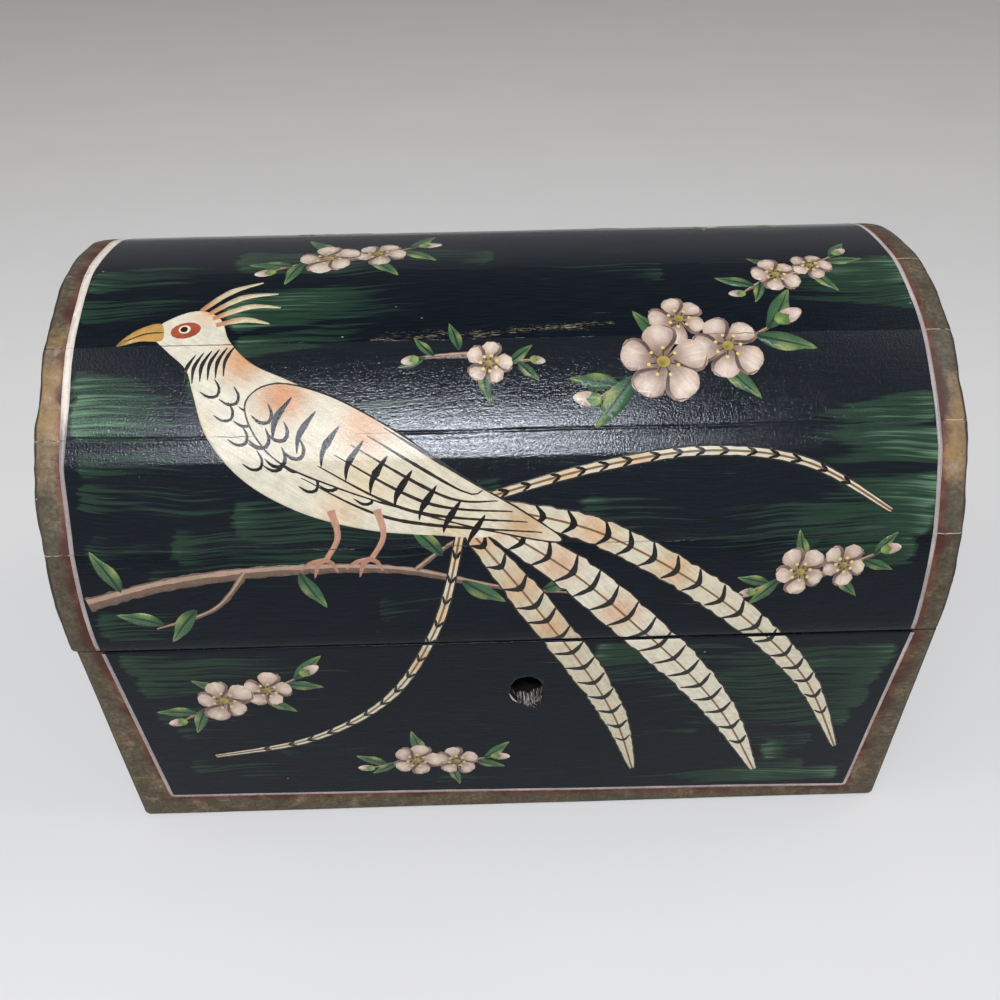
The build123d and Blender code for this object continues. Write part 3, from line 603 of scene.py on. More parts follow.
def spray(u, v, size, turn, seed, flowers):
    """A sprig: a twig, leaves, buds and one to three blossoms."""
    draw = random.Random(seed)

    def at(p, q):
        return moved([(p, q)], u, v, turn, size)[0]
    stem = [at(-20, -4), at(-11, -1.5), at(0, -1.5), at(12, 1.5), at(21, 4.5)]
    shapes = twig(stem, [0.5, 1.5, 1.7, 1.2, 0.4])
    for p, q, angle in ((-15, -2.5, 2.6), (-12, -1, -2.3), (14, 2, -0.5), (17, 3, 0.75), (6, -2, -1.1),
                        (-4, 3, 1.9)):
        shapes += leaf(*at(p, q), size * draw.uniform(0.7, 0.95), angle + turn + draw.uniform(-0.2, 0.2),
                       draw.uniform(-0.12, 0.2))
    shapes += bud(*at(20, 4.5), size * 0.85, turn + draw.uniform(-0.1, 0.5))
    shapes += bud(*at(-20, -4.5), size * 0.75, turn + math.pi + draw.uniform(-0.5, 0.2))
    for p, q, big in [(-5.5, 0.5, 1.0), (8.0, 1.0, 0.84), (0.5, 9.5, 0.7)][:flowers][::-1]:
        shapes += blossom(*at(p, q), size * big, draw.uniform(0, 1.2), draw)
    return shapes


def feather(points, widths, bars, pale, warm):
    """A long barred tail feather."""
    line = curve(points, False, 1.0)
    angle = math.atan2(points[-1][1] - points[0][1], points[-1][0] - points[0][0])
    spots = [(warm, *line[int(len(line) * share)], 8.0, 0.55) for share in (0.05, 0.2, 0.36)]
    shapes = [brush(points, [w + 0.7 for w in widths], "#2a211a", angle, 1.3, 0.15),
              (ribbon(points, widths, 1.3, 0.15), wash(pale, *spots), angle),
              brush(points, [0.5] * len(widths), "#7c5a38", angle, 1.5)]
    for k in range(bars):
        share = 0.06 + 0.86 * k / bars
        here = int(share * (len(line) - 2)) + 1
        (ua, va), (ub, vb) = line[here - 1], line[min(here + 1, len(line) - 1)]
        length = math.dist((ua, va), (ub, vb))
        du, dv = (ub - ua) / length, (vb - va) / length
        half = along(widths, share) * 0.5
        u, v = line[here]
        lean = 1.4 + 0.5 * noise.noise((k * 1.7, half, 0.0))
        bar = [(u - dv * half - du * lean, v + du * half - dv * lean), (u + du * 0.5, v + dv * 0.5),
               (u + dv * half - du * lean, v - du * half - dv * lean)]
        shapes.append(brush(bar, [0.35, 1.5 if half > 2 else 1.0, 0.3], "#15110f", angle + 1.5, 0.7, 0.3))
    return shapes


def scallop(u, v, size, turn, thick=0.75):
    """The curved edge of a small feather."""
    arc = moved([(-1.0, 0.75), (-0.72, -0.35), (0.0, -0.85), (0.72, -0.35), (1.0, 0.75)], u, v, turn, size)
    return brush(arc, [0.15, thick, thick * 1.25, thick, 0.15], "#1d1713", turn, 0.8, 0.2)


def perch():
    """The branch below the bird, with its leaves."""
    branch = [(-94, 78), (-74, 83), (-50, 85.5), (-24, 85), (-2, 80), (14, 78)]
    shapes = twig(branch, [3.4, 3.0, 2.6, 2.2, 1.4, 0.4])
    shapes += twig([(-58, 85), (-66, 76), (-80, 71)], [1.6, 1.1, 0.4])
    shapes += twig([(-20, 85), (-10, 92), (2, 94)], [1.3, 0.9, 0.4])
    for u, v, size, angle in ((-86, 81, 0.8, 1.9), (-70, 76, 0.8, -2.4), (-78, 72, 0.75, 2.7),
                              (-46, 85, 0.75, -1.2), (-10, 82, 0.8, -0.7), (8, 79, 0.75, 0.3),
                              (-14, 88, 0.7, 2.2)):
        shapes += leaf(u, v, size, angle)
    return shapes


def tail():
    """Three broad feathers and two narrow ones."""
    narrow = [1.6, 2.0, 1.9, 1.7, 0.9]
    shapes = []
    for points, widths, bars, pale, warm in (
        ([(-8, 94), (4, 78), (17, 57), (27, 36), (33, 15)], [3, 7.5, 8, 6, 1.0], 13, "#c9bda1", "#c98b4c"),
        ([(-4, 99), (22, 92), (50, 74), (72, 50), (86, 22)], [3, 6.5, 7, 5.5, 0.8], 17, "#cfc4a9", "#cc8a48"),
        ([(-6, 97), (16, 82), (38, 59), (54, 37), (66, 13)], [4, 9, 10, 7.5, 1.2], 16, "#d6ccb4", "#c87d3c"),
        ([(-4, 101), (20, 107), (44, 110), (66, 107), (85, 96)], narrow, 15, "#cfc6ac", "#d0a066"),
        ([(-10, 93), (-16, 70), (-29, 46), (-50, 31), (-76, 25)], narrow, 15, "#cfc6ac", "#d0a066"),
    ):
        shapes += feather(points, widths, bars, pale, warm)
    return shapes


def body_and_wing():
    """The bird's scalloped body and its folded, barred wing."""
    body = curve([(-74, 135.5), (-69.5, 131), (-67.5, 125), (-64, 115), (-56, 105.5), (-44, 98.5),
                  (-30, 94.5), (-16, 93), (-3, 92.5), (0, 98), (-10, 106), (-22, 114), (-34, 121.5),
                  (-46, 127.5), (-55, 132), (-60.5, 138), (-63, 144), (-68, 147), (-74, 145), (-78, 140.5)],
                 True, 1.2)
    shapes = [brush(body + body[:1], [0.9] * 3, "#2a1f18", -0.5, 1.3, 0.3),
              (body, wash("#d7cdb5", ("#c9803e", -57, 133, 9, 0.8), ("#cc8846", -42, 128, 9, 0.75),
                          ("#c87f3f", -26, 117, 9, 0.7), ("#d9b183", -36, 99, 8, 0.5),
                          ("#c9a15a", -12, 95, 7, 0.5), ("#d7c08c", -66, 118, 6, 0.5),
                          ("#d79a5c", -66, 146, 5, 0.6)), -0.55)]
    for row in range(5):
        for k in range(4 + row // 2):
            u = -63.5 + row * 4.3 + k * 3.2
            v = 126 - row * 1.8 - k * 5.4 + row * k * 0.5
            if inside(body, u, v) and inside(body, u - 2.2, v - 2.2):
                shapes.append(scallop(u, v, 2.1, 0.75, 0.6))
    wing = curve([(-56, 122), (-50, 127), (-38, 124), (-24, 116), (-10, 106), (4, 97.5), (12, 91), (-4, 94),
                  (-20, 98.5), (-36, 104), (-50, 111)], True, 1.2)
    shapes += [brush(wing + wing[:1], [0.8] * 3, "#2a1f18", -0.5, 1.3, 0.3),
               (wing, wash("#d2c6ab", ("#c4773a", -48, 124, 9, 0.85), ("#c9803f", -30, 117, 9, 0.7),
                           ("#ddc59a", -30, 105, 9, 0.6), ("#b98750", 4, 95, 8, 0.7)), -0.6)]
    for k in range(6):
        u, v = -44 + k * 3.6, 106.2 + 2.6 * k - 0.1 * k * k
        quill = [(u, v), (u + 20, v - 9.5 - k * 0.7), (8 - k * 3.2, 93 + k * 2.4)]
        shapes.append(brush(quill, [0.2, 0.8, 0.25], "#2b2018", -0.5, 1.1, 0.3))
    for k in range(9):
        u, v = -46 + k * 5.2, 124.0 - k * 3.35
        shapes.append(brush([(u, v), (u - 3.4, v - 5.0), (u - 4.0, v - 9.6 + k * 0.35)], [0.25, 1.7, 0.15],
                            "#15110f", 1.2, 0.8, 0.25))
    shoulder = [(-52, 120), (-48.5, 116), (-52.5, 114.6), (-45, 112), (-49, 110.4)]
    return shapes + [scallop(u, v, 2.2, 0.6) for u, v in shoulder]


def head_and_feet():
    """Crest, collar, beak, eye and the feet on the branch."""
    shapes = []
    for line in ([(-66, 146), (-59, 151), (-51, 152)], [(-65, 144.5), (-57, 148), (-50, 147.5)],
                 [(-64, 142.5), (-58, 144), (-52, 142.6)], [(-68, 147), (-62, 153), (-55, 156)]):
        tint = wash("#cdba93", ("#b96a34", *line[0], 7, 0.8))
        shapes.append((ribbon(line, [1.2, 1.7, 0.3], 1.0, 0.2), tint, 0.4))
    for k in range(6):
        u, v = -60.5 - k * 1.7, 134 - k * 0.4
        shapes.append(brush([(u + 1.5, v + 2.6), (u - 0.4, v - 1.0), (u - 0.6, v - 4.8)], [0.2, 1.0, 0.2],
                            "#1a1512", 1.3, 0.9, 0.2))
    beak = curve([(-76.5, 143.3), (-81.5, 141.6), (-85.5, 137.2), (-80.5, 138.4), (-75.5, 138.6)], True, 0.9)
    shapes += [(beak, wash("#b98d48", ("#5e4526", -85, 137, 3, 0.7)), 0.3),
               brush([(-84, 138.3), (-79.6, 140.4), (-75.6, 140.7)], [0.2, 0.4, 0.3], "#33241a", 0.0, 0.9),
               (oval(-70.6, 141.2, 3.4, 2.3, 0.2), wash("#a34a32", ("#7c2f24", -69, 140, 2, 0.6)), 0.2),
               (oval(-70.9, 141.5, 1.35, 1.2), wash("#e9dcb4"), 0.0),
               (oval(-71.0, 141.5, 0.85, 0.85, 0, 10), wash("#120e0c"), 0.0)]
    for u in (-38, -28):
        leg = [(u, 99), (u + 1.2, 93), (u - 2, 87.5)]
        shapes.append(brush(leg, [1.8, 1.3, 1.1], "#b98a72", 1.4, 1.0, 0.2))
        for du, dv in ((-5.5, -1.6), (-2.6, -3.6), (2.6, -2.2)):
            toe = [(u - 2, 87.8), (u - 2 + du * 0.6, 87.4 + dv * 0.2), (u - 2 + du, 87 + dv)]
            shapes.append(brush(toe, [1.1, 1.0, 0.3], "#a87a62", 0.3, 0.8))
    return shapes


# Materials

COLOUR = {"out": 2, "data_type": "RGBA"}     # settings of a Mix of colours


def add(tree, kind, inputs=None, out=0, stops=None, **settings):
    """Adds a node such as "Mix" or "Math ADD", with its settings and links, and gives one of its outputs."""
    kind, _, operation = kind.partition(" ")
    made = tree.nodes.new("ShaderNode" + kind)
    if operation:
        made.operation = operation
    for key, value in settings.items():
        setattr(made, key, value)
    for key, value in (inputs or {}).items():
        if isinstance(value, bpy.types.NodeSocket):
            tree.links.new(value, made.inputs[key])
        else:
            made.inputs[key].default_value = rgba(value) if isinstance(value, str) else value
    if stops:
        ramp = made.color_ramp.elements
        while len(ramp) < len(stops):
            ramp.new(0.5)
        for element, (position, colour) in zip(ramp, stops):
            element.position, element.color = position, rgba(colour)
    return made.outputs[out]


def new_material(name):
    made = bpy.data.materials.new(name)
    made.use_nodes = True
    made.node_tree.nodes.clear()
    return made, made.node_tree


def output(tree, shader_inputs):
    shader = add(tree, "BsdfPrincipled", shader_inputs)
    tree.links.new(shader, tree.nodes.new("ShaderNodeOutputMaterial").inputs["Surface"])


def drawn_out(t, where, stretch, detail=2.0, roughness=0.5):
    """Noise drawn out along one way, like the marks of bristles or the fibres of wood."""
    stretched = add(t, "VectorMath MULTIPLY", {0: where, 1: stretch})
    return add(t, "TexNoise", {"Vector": stretched, "Scale": 1.0, "Detail": detail, "Roughness": roughness})


def add_cracks(t, mm, border=None):
    """Fine broken cracks where the staves meet under the paint, 0.2 mm wide, open all through the border."""
    height = add(t, "SeparateXYZ", {0: mm}, out=1)
    jitter = add(t, "TexNoise", {"Vector": mm, "Scale": 0.35, "Detail": 2.0})
    s = add(t, "Math MULTIPLY_ADD", {0: jitter, 1: 0.7, 2: height})
    # The crack over the second stave follows the groove in the gesso, off the joint
    above = add(t, "Math GREATER_THAN", {0: height, 1: FACET_TOP - 6})
    below = add(t, "Math LESS_THAN", {0: height, 1: FACET_TOP + 10})
    shift = add(t, "Math MULTIPLY", {0: above, 1: below})
    s = add(t, "Math MULTIPLY_ADD", {0: shift, 1: FACET_TOP - GROOVE, 2: s})
    at = add(t, "Math MULTIPLY", {0: add(t, "Math ADD", {0: s, 1: -SPRING - 0.35}), 1: 1 / ARC})
    near = add(t, "Math PINGPONG", {0: at, 1: 0.5})
    line = add(t, "MapRange", {0: near, 1: 0.16 / ARC, 2: 0.05 / ARC})
    run = add(t, "TexNoise", {"Vector": mm, "Scale": 0.045, "Detail": 2.0})
    open_here = add(t, "MapRange", {0: run, 1: 0.47, 2: 0.56})
    if border:
        open_here = add(t, "Math MAXIMUM", {0: open_here, 1: border})
    on_lid = add(t, "Math GREATER_THAN", {0: height, 1: SPRING + 5.0})
    return add(t, "Math MULTIPLY", {0: add(t, "Math MULTIPLY", {0: line, 1: open_here}), 1: on_lid})


def make_ground_paint(name, shine):
    """Gesso and distemper colour under shellac, brushed on by hand: satin gloss, fine level brush lines."""
    made, t = new_material(name)
    mm = add(t, "Attribute", out=1, attribute_name="mm")
    green, rim, edge, wear, gold_and_sheen = (add(t, "Attribute", out=2, attribute_name=key)
                                   for key in ("green", "rim", "edge", "wear", "gold_and_sheen"))
    # Cloudy patches from 9 mm across (blot) down to 0.5 mm (pebble)
    wavy, blot, stain, chip, grit, pebble = (
        add(t, "TexNoise", {"Vector": mm, "Scale": scale, "Detail": detail, "Roughness": roughness})
        for scale, detail, roughness in ((0.16, 3.0, 0.5), (0.11, 4.0, 0.65), (0.23, 5.0, 0.7),
                                         (0.55, 3.0, 0.7), (1.1, 4.0, 0.7), (2.1, 2.0, 0.55)))
    # Bristle lines: 0.8 mm apart, 30 mm long, bent a little by the hand
    bend = add(t, "TexNoise", {"Vector": mm, "Scale": 0.03, "Detail": 1.0}, out=1)
    bent = add(t, "VectorMath ADD", {0: mm, 1: add(t, "VectorMath MULTIPLY", {0: bend, 1: (0.0, 7.0, 0.0)})})
    bristle = drawn_out(t, bent, (0.034, 1.25, 1.0), 3.0, 0.6)
    hair = drawn_out(t, bent, (0.12, 3.4, 1.0))
    # The green shows where the bristles touched, and is palest where they left it thick
    shifted = add(t, "Math MULTIPLY_ADD", {0: bristle, 1: 1.7, 2: green})
    touched = add(t, "MapRange", {0: shifted, 1: 1.2, 2: 1.42})
    thick = add(t, "MapRange", {0: shifted, 1: 1.62, 2: 2.05})
    navy = add(t, "MapRange", {0: hair, 1: 0.35, 2: 0.7})
    black = add(t, "Mix", {0: navy, 6: "#04080d", 7: "#0d1620"}, **COLOUR)
    leaf = add(t, "Mix", {0: hair, 6: "#13251c", 7: "#28402f"}, **COLOUR)
    leaf = add(t, "Mix", {0: thick, 6: leaf, 7: "#5d7b5f"}, **COLOUR)
    colour = add(t, "Mix", {0: touched, 6: black, 7: leaf}, **COLOUR)
    # Orange-brown priming worn through on an arris, in level streaks 0.25 by 2 mm
    fleck = drawn_out(t, mm, (0.5, 4.0, 1.0), 4.0, 0.75)
    worn = add(t, "Math MULTIPLY_ADD", {0: wear, 1: 0.36, 2: fleck})
    worn = add(t, "MapRange", {0: worn, 1: 0.84, 2: 0.95})
    # Border: a soft red stripe, then an olive-brown band rubbed to gold and lightened by painted sheen,
    # outlined dark at the arris
    out_by = add(t, "Math MULTIPLY_ADD", {0: wavy, 1: 2.2, 2: rim})
    red = add(t, "MapRange", {0: blot, 1: 0.42, 2: 0.62})
    red = add(t, "Mix", {0: red, 6: "#4a2c23", 7: "#7c3b2d"}, **COLOUR)
    ground = add(t, "MapRange", {0: grit, 1: 0.36, 2: 0.64})
    olive = add(t, "Mix", {0: ground, 6: "#494132", 7: "#695e4b"}, **COLOUR)
    gold = add(t, "Math MULTIPLY_ADD", {0: gold_and_sheen, 1: 0.42, 2: blot})
    gold = add(t, "Math MULTIPLY_ADD", {0: grit, 1: 0.3, 2: gold})
    gold = add(t, "MapRange", {0: gold, 1: 0.76, 2: 1.12})
    bronze = add(t, "MapRange", {0: stain, 1: 0.36, 2: 0.5})
    bronze = add(t, "Mix", {0: bronze, 6: "#ab8f76", 7: "#93744a"}, **COLOUR)
    olive = add(t, "Mix", {0: gold, 6: olive, 7: bronze}, **COLOUR)
    soiled = add(t, "Math MULTIPLY_ADD", {0: gold_and_sheen, 1: -0.2, 2: stain})
    soiled = add(t, "MapRange", {0: soiled, 1: 0.38, 2: 0.62, 3: 0.0, 4: 0.75})
    olive = add(t, "Mix", {0: soiled, 6: olive, 7: "#3b3124"}, **COLOUR)
    soft_edge = add(t, "Math MULTIPLY_ADD", {0: blot, 1: 9.0, 2: out_by})
    band = add(t, "MapRange", {0: soft_edge, 1: 6.1, 2: 8.2})
    border = add(t, "Mix", {0: band, 6: red, 7: olive}, **COLOUR)
    outline = add(t, "Math MULTIPLY_ADD", {0: stain, 1: 1.2, 2: edge})
    outline = add(t, "MapRange", {0: outline, 1: 1.45, 2: 1.05})
    chip = add(t, "Math MULTIPLY_ADD", {0: edge, 1: -0.05, 2: chip})
    chip = add(t, "MapRange", {0: chip, 1: 0.65, 2: 0.67})
    for share, over in ((outline, "#2b251c"), (chip, "#b7a183")):
        border = add(t, "Mix", {0: share, 6: border, 7: over}, **COLOUR)
    in_border = add(t, "MapRange", {0: out_by, 1: 1.2, 2: 1.45})
    # Nicks and specks of dust, 0.3 by 0.6 mm, drawn a little coarser than real
    cells = add(t, "VectorMath MULTIPLY", {0: mm, 1: (0.17, 0.3, 1.0)})
    speck, chance = add(t, "TexVoronoi", {"Vector": cells, "Scale": 1.0}).node.outputs[:2]
    chance = add(t, "MapRange", {0: add(t, "SeparateColor", {0: chance}), 1: 0.84, 2: 1.0, 3: 0.0, 4: 0.06})
    nick = add(t, "Math SUBTRACT", {0: chance, 1: speck})
    nick = add(t, "MapRange", {0: nick, 1: 0.0, 2: 0.02, 3: 0.0, 4: 0.7})
    # Cracks are dirty on the dark ground and show the pale gesso on the border
    crack = add_cracks(t, mm, in_border)
    gesso = add(t, "MapRange", {0: stain, 1: 0.43, 2: 0.51})
    gesso = add(t, "Mix", {0: gesso, 6: "#2a231b", 7: "#b9ab94"}, **COLOUR)
    broken = add(t, "Mix", {0: in_border, 6: "#1d1c1a", 7: gesso}, **COLOUR)
    # Level scratches, 0.15 mm wide and drawn twice as wide
    scratch = drawn_out(t, mm, (0.055, 2.3, 1.0), 1.0)
    scratch = add(t, "MapRange", {0: scratch, 1: 0.77, 2: 0.81, 3: 0.0, 4: 0.3})
    for share, over in ((worn, "#8f8163"), (in_border, border), (nick, "#9aa09b"), (crack, broken),
                        (scratch, "#6f7a78")):
        colour = add(t, "Mix", {0: share, 6: colour, 7: over}, **COLOUR)
    # Gloss: shellac, duller on the border and where worn
    rough = add(t, "Math MULTIPLY_ADD", {0: grit, 1: 1.6, 2: bristle})
    rough = add(t, "MapRange", {0: rough, 1: 1.1, 2: 1.5, 3: 0.06, 4: 0.2})
    for share, dull in ((in_border, 0.52), (worn, 0.6)):
        rough = add(t, "Mix", {0: share, 2: rough, 3: dull})
    # Pebbled shellac, 0.4 mm from crest to crest, and upright dabs of 0.6 by 2 mm break the gloss into glints
    dab = drawn_out(t, mm, (1.5, 0.5, 1.0), 2.5, 0.6)
    relief = 0.0
    for height, share in ((bristle, 0.25), (hair, 0.3), (dab, 0.25), (pebble, 0.8), (grit, 0.45),
                          (crack, -0.8)):
        relief = add(t, "Math MULTIPLY_ADD", {0: height, 1: share, 2: relief})
    bump = add(t, "Bump", {"Height": relief, "Distance": 0.00009})
    output(t, {"Base Color": colour, "Roughness": rough, "Normal": bump, "Specular IOR Level": shine})
    return made


def make_hand_paint():
    """Opaque colour brushed on under the shellac: fine lines along each stroke, rubbed thin in places."""
    made, t = new_material("opaque_colour_under_shellac")
    tint = add(t, "Attribute", attribute_name="tint")
    grain = add(t, "Attribute", out=1, attribute_name="grain")
    mm = add(t, "Attribute", out=1, attribute_name="mm")
    bristle = drawn_out(t, grain, (0.12, 1.5, 1.0), 3.0, 0.6)
    mottle = add(t, "TexNoise", {"Vector": mm, "Scale": 0.42, "Detail": 4.0, "Roughness": 0.65})
    grit = add(t, "TexNoise", {"Vector": mm, "Scale": 1.6, "Detail": 3.0, "Roughness": 0.7})
    shade = add(t, "MapRange", {0: bristle, 1: 0.3, 2: 0.7, 3: 0.86, 4: 1.08})
    blot = add(t, "MapRange", {0: mottle, 1: 0.3, 2: 0.7, 3: 0.88, 4: 1.06})
    colour = add(t, "VectorMath MULTIPLY", {0: add(t, "VectorMath MULTIPLY", {0: tint, 1: shade}), 1: blot})
    thin = add(t, "Math MULTIPLY", {0: mottle, 1: grit})
    thin = add(t, "MapRange", {0: thin, 1: 0.36, 2: 0.44, 3: 0.0, 4: 0.45})
    for share, over in ((add_cracks(t, mm), "#3a332b"), (thin, "#4c443b")):
        colour = add(t, "Mix", {0: share, 6: colour, 7: over}, **COLOUR)
    rough = add(t, "MapRange", {0: mottle, 1: 0.3, 2: 0.7, 3: 0.22, 4: 0.34})
    relief = add(t, "Math MULTIPLY_ADD", {0: bristle, 1: 0.6, 2: grit})
    bump = add(t, "Bump", {"Height": relief, "Distance": 0.00008})
    output(t, {"Base Color": colour, "Roughness": rough, "Normal": bump, "Specular IOR Level": 0.38})
    return made


def outer_faces(t, where):
    """The ground colour runs over the boards' outer faces and edges, in metres from the object's origin."""
    x, y, z = add(t, "SeparateXYZ", {0: where}).node.outputs
    ends = add(t, "Math GREATER_THAN", {0: add(t, "Math ABSOLUTE", {0: x}), 1: (BASE_END - 0.2) * MM})
    front = add(t, "Math LESS_THAN", {0: y, 1: (0.5 - HALF_DEPTH) * MM})
    back = add(t, "Math GREATER_THAN", {0: y, 1: (HALF_DEPTH - 1.7) * MM})
    lift = add(t, "Math MAXIMUM", {0: add(t, "Math ADD", {0: z, 1: -SPRING * MM}), 1: 0.0})
    reach = add(t, "Math MULTIPLY_ADD", {0: y, 1: y, 2: add(t, "Math MULTIPLY", {0: lift, 1: lift})})
    outer = add(t, "Math GREATER_THAN", {0: reach, 1: ((DOME - 1.2) * MM) ** 2})
    for face in (ends, front, back):
        outer = add(t, "Math MAXIMUM", {0: outer, 1: face})
    return outer


def keyhole_bore(t, where):
    """Where the keyhole's bore is, and its colour: torn grey fibres low at the mouth, and painted shade, near
    black, deeper in and higher up.
    """
    u, v = KEYHOLE_MIDDLE
    middle = Vector((u, 3.5 - HALF_DEPTH, v)) * MM
    away = add(t, "VectorMath DISTANCE", {0: where, 1: middle}, out=1)
    near = add(t, "MapRange", {0: away, 1: 0.0058, 2: 0.0072, 3: 1.0, 4: 0.0})
    _, y, z = add(t, "SeparateXYZ", {0: where}).node.outputs
    fibres = drawn_out(t, where, (1500.0, 200.0, 500.0))
    torn = add(t, "MapRange", {0: fibres, 1: 0.42, 2: 0.64})
    torn = add(t, "Mix", {0: torn, 6: "#2c231c", 7: "#aaa399"}, **COLOUR)
    # Fibres show at the front and low down; deeper in and higher up the bore is painted shade, near black
    ragged = add(t, "Math MULTIPLY_ADD", {0: fibres, 1: 0.003, 2: y})
    mouth = add(t, "MapRange", {0: ragged, 1: -0.0640, 2: -0.0618, 3: 1.0, 4: 0.0})
    low = add(t, "MapRange", {0: z, 1: 0.0474, 2: 0.0450})
    mouth = add(t, "Math MULTIPLY", {0: mouth, 1: low})
    return near, add(t, "Mix", {0: mouth, 6: "#0e0b09", 7: torn}, **COLOUR)


def make_wood(name, axis, pale, dark):
    """Sawn and sanded hardwood, lightly stained: grain lines 1.5 mm apart run along one axis."""
    made, t = new_material(name)
    where = add(t, "TexCoord", out=3)
    stretch = [900.0, 900.0, 900.0]
    stretch[axis] = 26.0
    grain = add(t, "VectorMath MULTIPLY", {0: where, 1: tuple(stretch)})
    lines = add(t, "TexNoise", {"Vector": grain, "Scale": 0.7, "Detail": 4.0, "Roughness": 0.6,
                                "Distortion": 0.3})
    pores = add(t, "TexNoise", {"Vector": grain, "Scale": 3.0, "Detail": 2.0})
    tone = add(t, "TexNoise", {"Vector": where, "Scale": 22.0, "Detail": 3.0})
    colour = add(t, "ValToRGB", {0: lines}, stops=[(0.3, dark), (0.55, pale), (0.75, pale)])
    shade = add(t, "MapRange", {0: tone, 1: 0.35, 2: 0.7, 3: 0.72, 4: 1.05})
    colour = add(t, "VectorMath MULTIPLY", {0: colour, 1: shade})
    pore = add(t, "MapRange", {0: pores, 1: 0.62, 2: 0.72})
    for share, over in ((pore, "#4a3220"), (outer_faces(t, where), "#171b20"), keyhole_bore(t, where)):
        colour = add(t, "Mix", {0: share, 6: colour, 7: over}, **COLOUR)
    rough = add(t, "MapRange", {0: lines, 1: 0.3, 2: 0.7, 3: 0.5, 4: 0.66})
    bump = add(t, "Bump", {"Height": lines, "Strength": 0.4, "Distance": 0.0002})
    output(t, {"Base Color": colour, "Roughness": rough, "Normal": bump})
    return made


def make_fibre():
    """Torn wood fibres, grey with dirt: pale ridges and dark hollows 0.4 mm wide."""
    made, t = new_material("torn_wood_fibre")
    streak = drawn_out(t, add(t, "TexCoord", out=3), (2400.0, 400.0, 700.0))
    colour = add(t, "ValToRGB", {0: streak}, stops=[(0.36, "#3a322b"), (0.5, "#7c746b"), (0.64, "#b3aca2")])
    output(t, {"Base Color": colour, "Roughness": 0.8})
    return made


def make_metal(name, bright, dull, stain, roughness, scale):
    """Pressed or drawn metal, old: bright where handled, dull with tarnish, and stained brown in spots."""
    made, t = new_material(name)
    where = add(t, "TexCoord", out=3)
    # The tarnish lies in patches 5 to 7 mm across, the stain in spots of 2 to 3 mm
    tarnish = add(t, "TexNoise", {"Vector": where, "Scale": scale, "Detail": 5.0, "Roughness": 0.65})
    spots = add(t, "TexNoise", {"Vector": where, "Scale": scale * 2.7, "Detail": 3.0, "Roughness": 0.6})
    clouded = add(t, "MapRange", {0: tarnish, 1: 0.35, 2: 0.65})
    colour = add(t, "Mix", {0: clouded, 6: bright, 7: dull}, **COLOUR)
    stained = add(t, "MapRange", {0: spots, 1: 0.58, 2: 0.7})
    colour = add(t, "Mix", {0: stained, 6: colour, 7: stain}, **COLOUR)
    rough = add(t, "MapRange", {0: tarnish, 1: 0.3, 2: 0.7, 3: roughness, 4: roughness + 0.22})
    bump = add(t, "Bump", {"Height": spots, "Strength": 0.25, "Distance": 0.0001})
    output(t, {"Base Color": colour, "Roughness": rough, "Metallic": 1.0, "Normal": bump})
    return made


# The second and third staves kept their shellac; the rest was rubbed thin by hands
shellacked_paint = make_ground_paint("distemper_under_shellac", 0.45)
rubbed_paint = make_ground_paint("distemper_under_rubbed_shellac", 0.16)
hand_paint = make_hand_paint()
torn_wood = make_fibre()
wood_long = make_wood("sanded_hardwood_long", 0, "#b98d5e", "#8d6238")
wood_cross = make_wood("sanded_hardwood_cross", 1, "#b08455", "#865c35")
aged_brass = make_metal("aged_pressed_brass", "#b08a44", "#7d6233", "#3f3420", 0.3, 160.0)
dull_steel = make_metal("dull_pressed_steel", "#8a8782", "#5f5b56", "#5a4030", 0.34, 140.0)
dark_iron = make_metal("drawn_iron_wire", "#5c5854", "#3b3733", "#4a2f20", 0.42, 220.0)


# CAD pieces keep their shape and get their finish
for name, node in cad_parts.items():
    if name in ("base_left_end", "base_right_end", "lid_left_end", "lid_right_end"):
        finish = wood_cross
    elif name.startswith(("lid_stave", "base_front", "base_back", "base_bottom")):
        finish = wood_long
    elif "brads" in name:
        finish = dark_iron
    elif "hinge" in name:
        finish = aged_brass
    else:
        finish = dull_steel
    node.data.materials.clear()
    node.data.materials.append(finish)


# Ground coat, one sheet for each stave and wall

def round_end(middle, radius, angles):
    """Columns round an upright edge, from the flat outwards."""
    return [(middle + radius * math.sin(math.radians(a)), radius * (1 - math.cos(math.radians(a))))
            for a in angles]


def wall_columns(half, step=1.6):
    """Columns across a wall, with its upright edges rounded."""
    flat = [(u, 0.0) for u in spread(0.0, half - CORNER, step)[1:-1]]
    corner = round_end(half - CORNER, CORNER + COAT, (0, 15, 30, 45))
    return [(-u, d) for u, d in reversed(flat + corner)] + [(0.0, 0.0)] + flat + corner


foot = [(0.04, 0.6), (0.25, 0.3), (0.5, 0.12), (0.9, 0.0)]
wall_rows = foot + [(v, 0.0) for v in spread(0.9, 63.5, 1.55)[1:]] + [(63.8, 0.22), (63.96, 0.42)]
front_rows = foot + [(v, 0.0) for v in spread(0.9, 63.8, 0.8)[1:]] + [(63.92, 0.1), (63.97, 0.42)]
back_rows = foot + [(v, 0.0) for v in spread(0.9, HINGE_ROOM, 1.55)[1:]] + [(HINGE_ROOM + 0.3, 0.2)]
back_rows = [(WRAP - v, drop) for v, drop in reversed(back_rows)]
coat("ground_front_wall", "wrap", wall_columns(BASE_END, 0.9), front_rows, "base", 0.0, KEYHOLE)
coat("ground_back_wall", "wrap", wall_columns(BASE_END), back_rows, "base", 0.0)
coat("ground_left_wall", "left", wall_columns(HALF_DEPTH), wall_rows, "base", 40.0)
coat("ground_right_wall", "right", wall_columns(HALF_DEPTH), wall_rows, "base", 80.0)


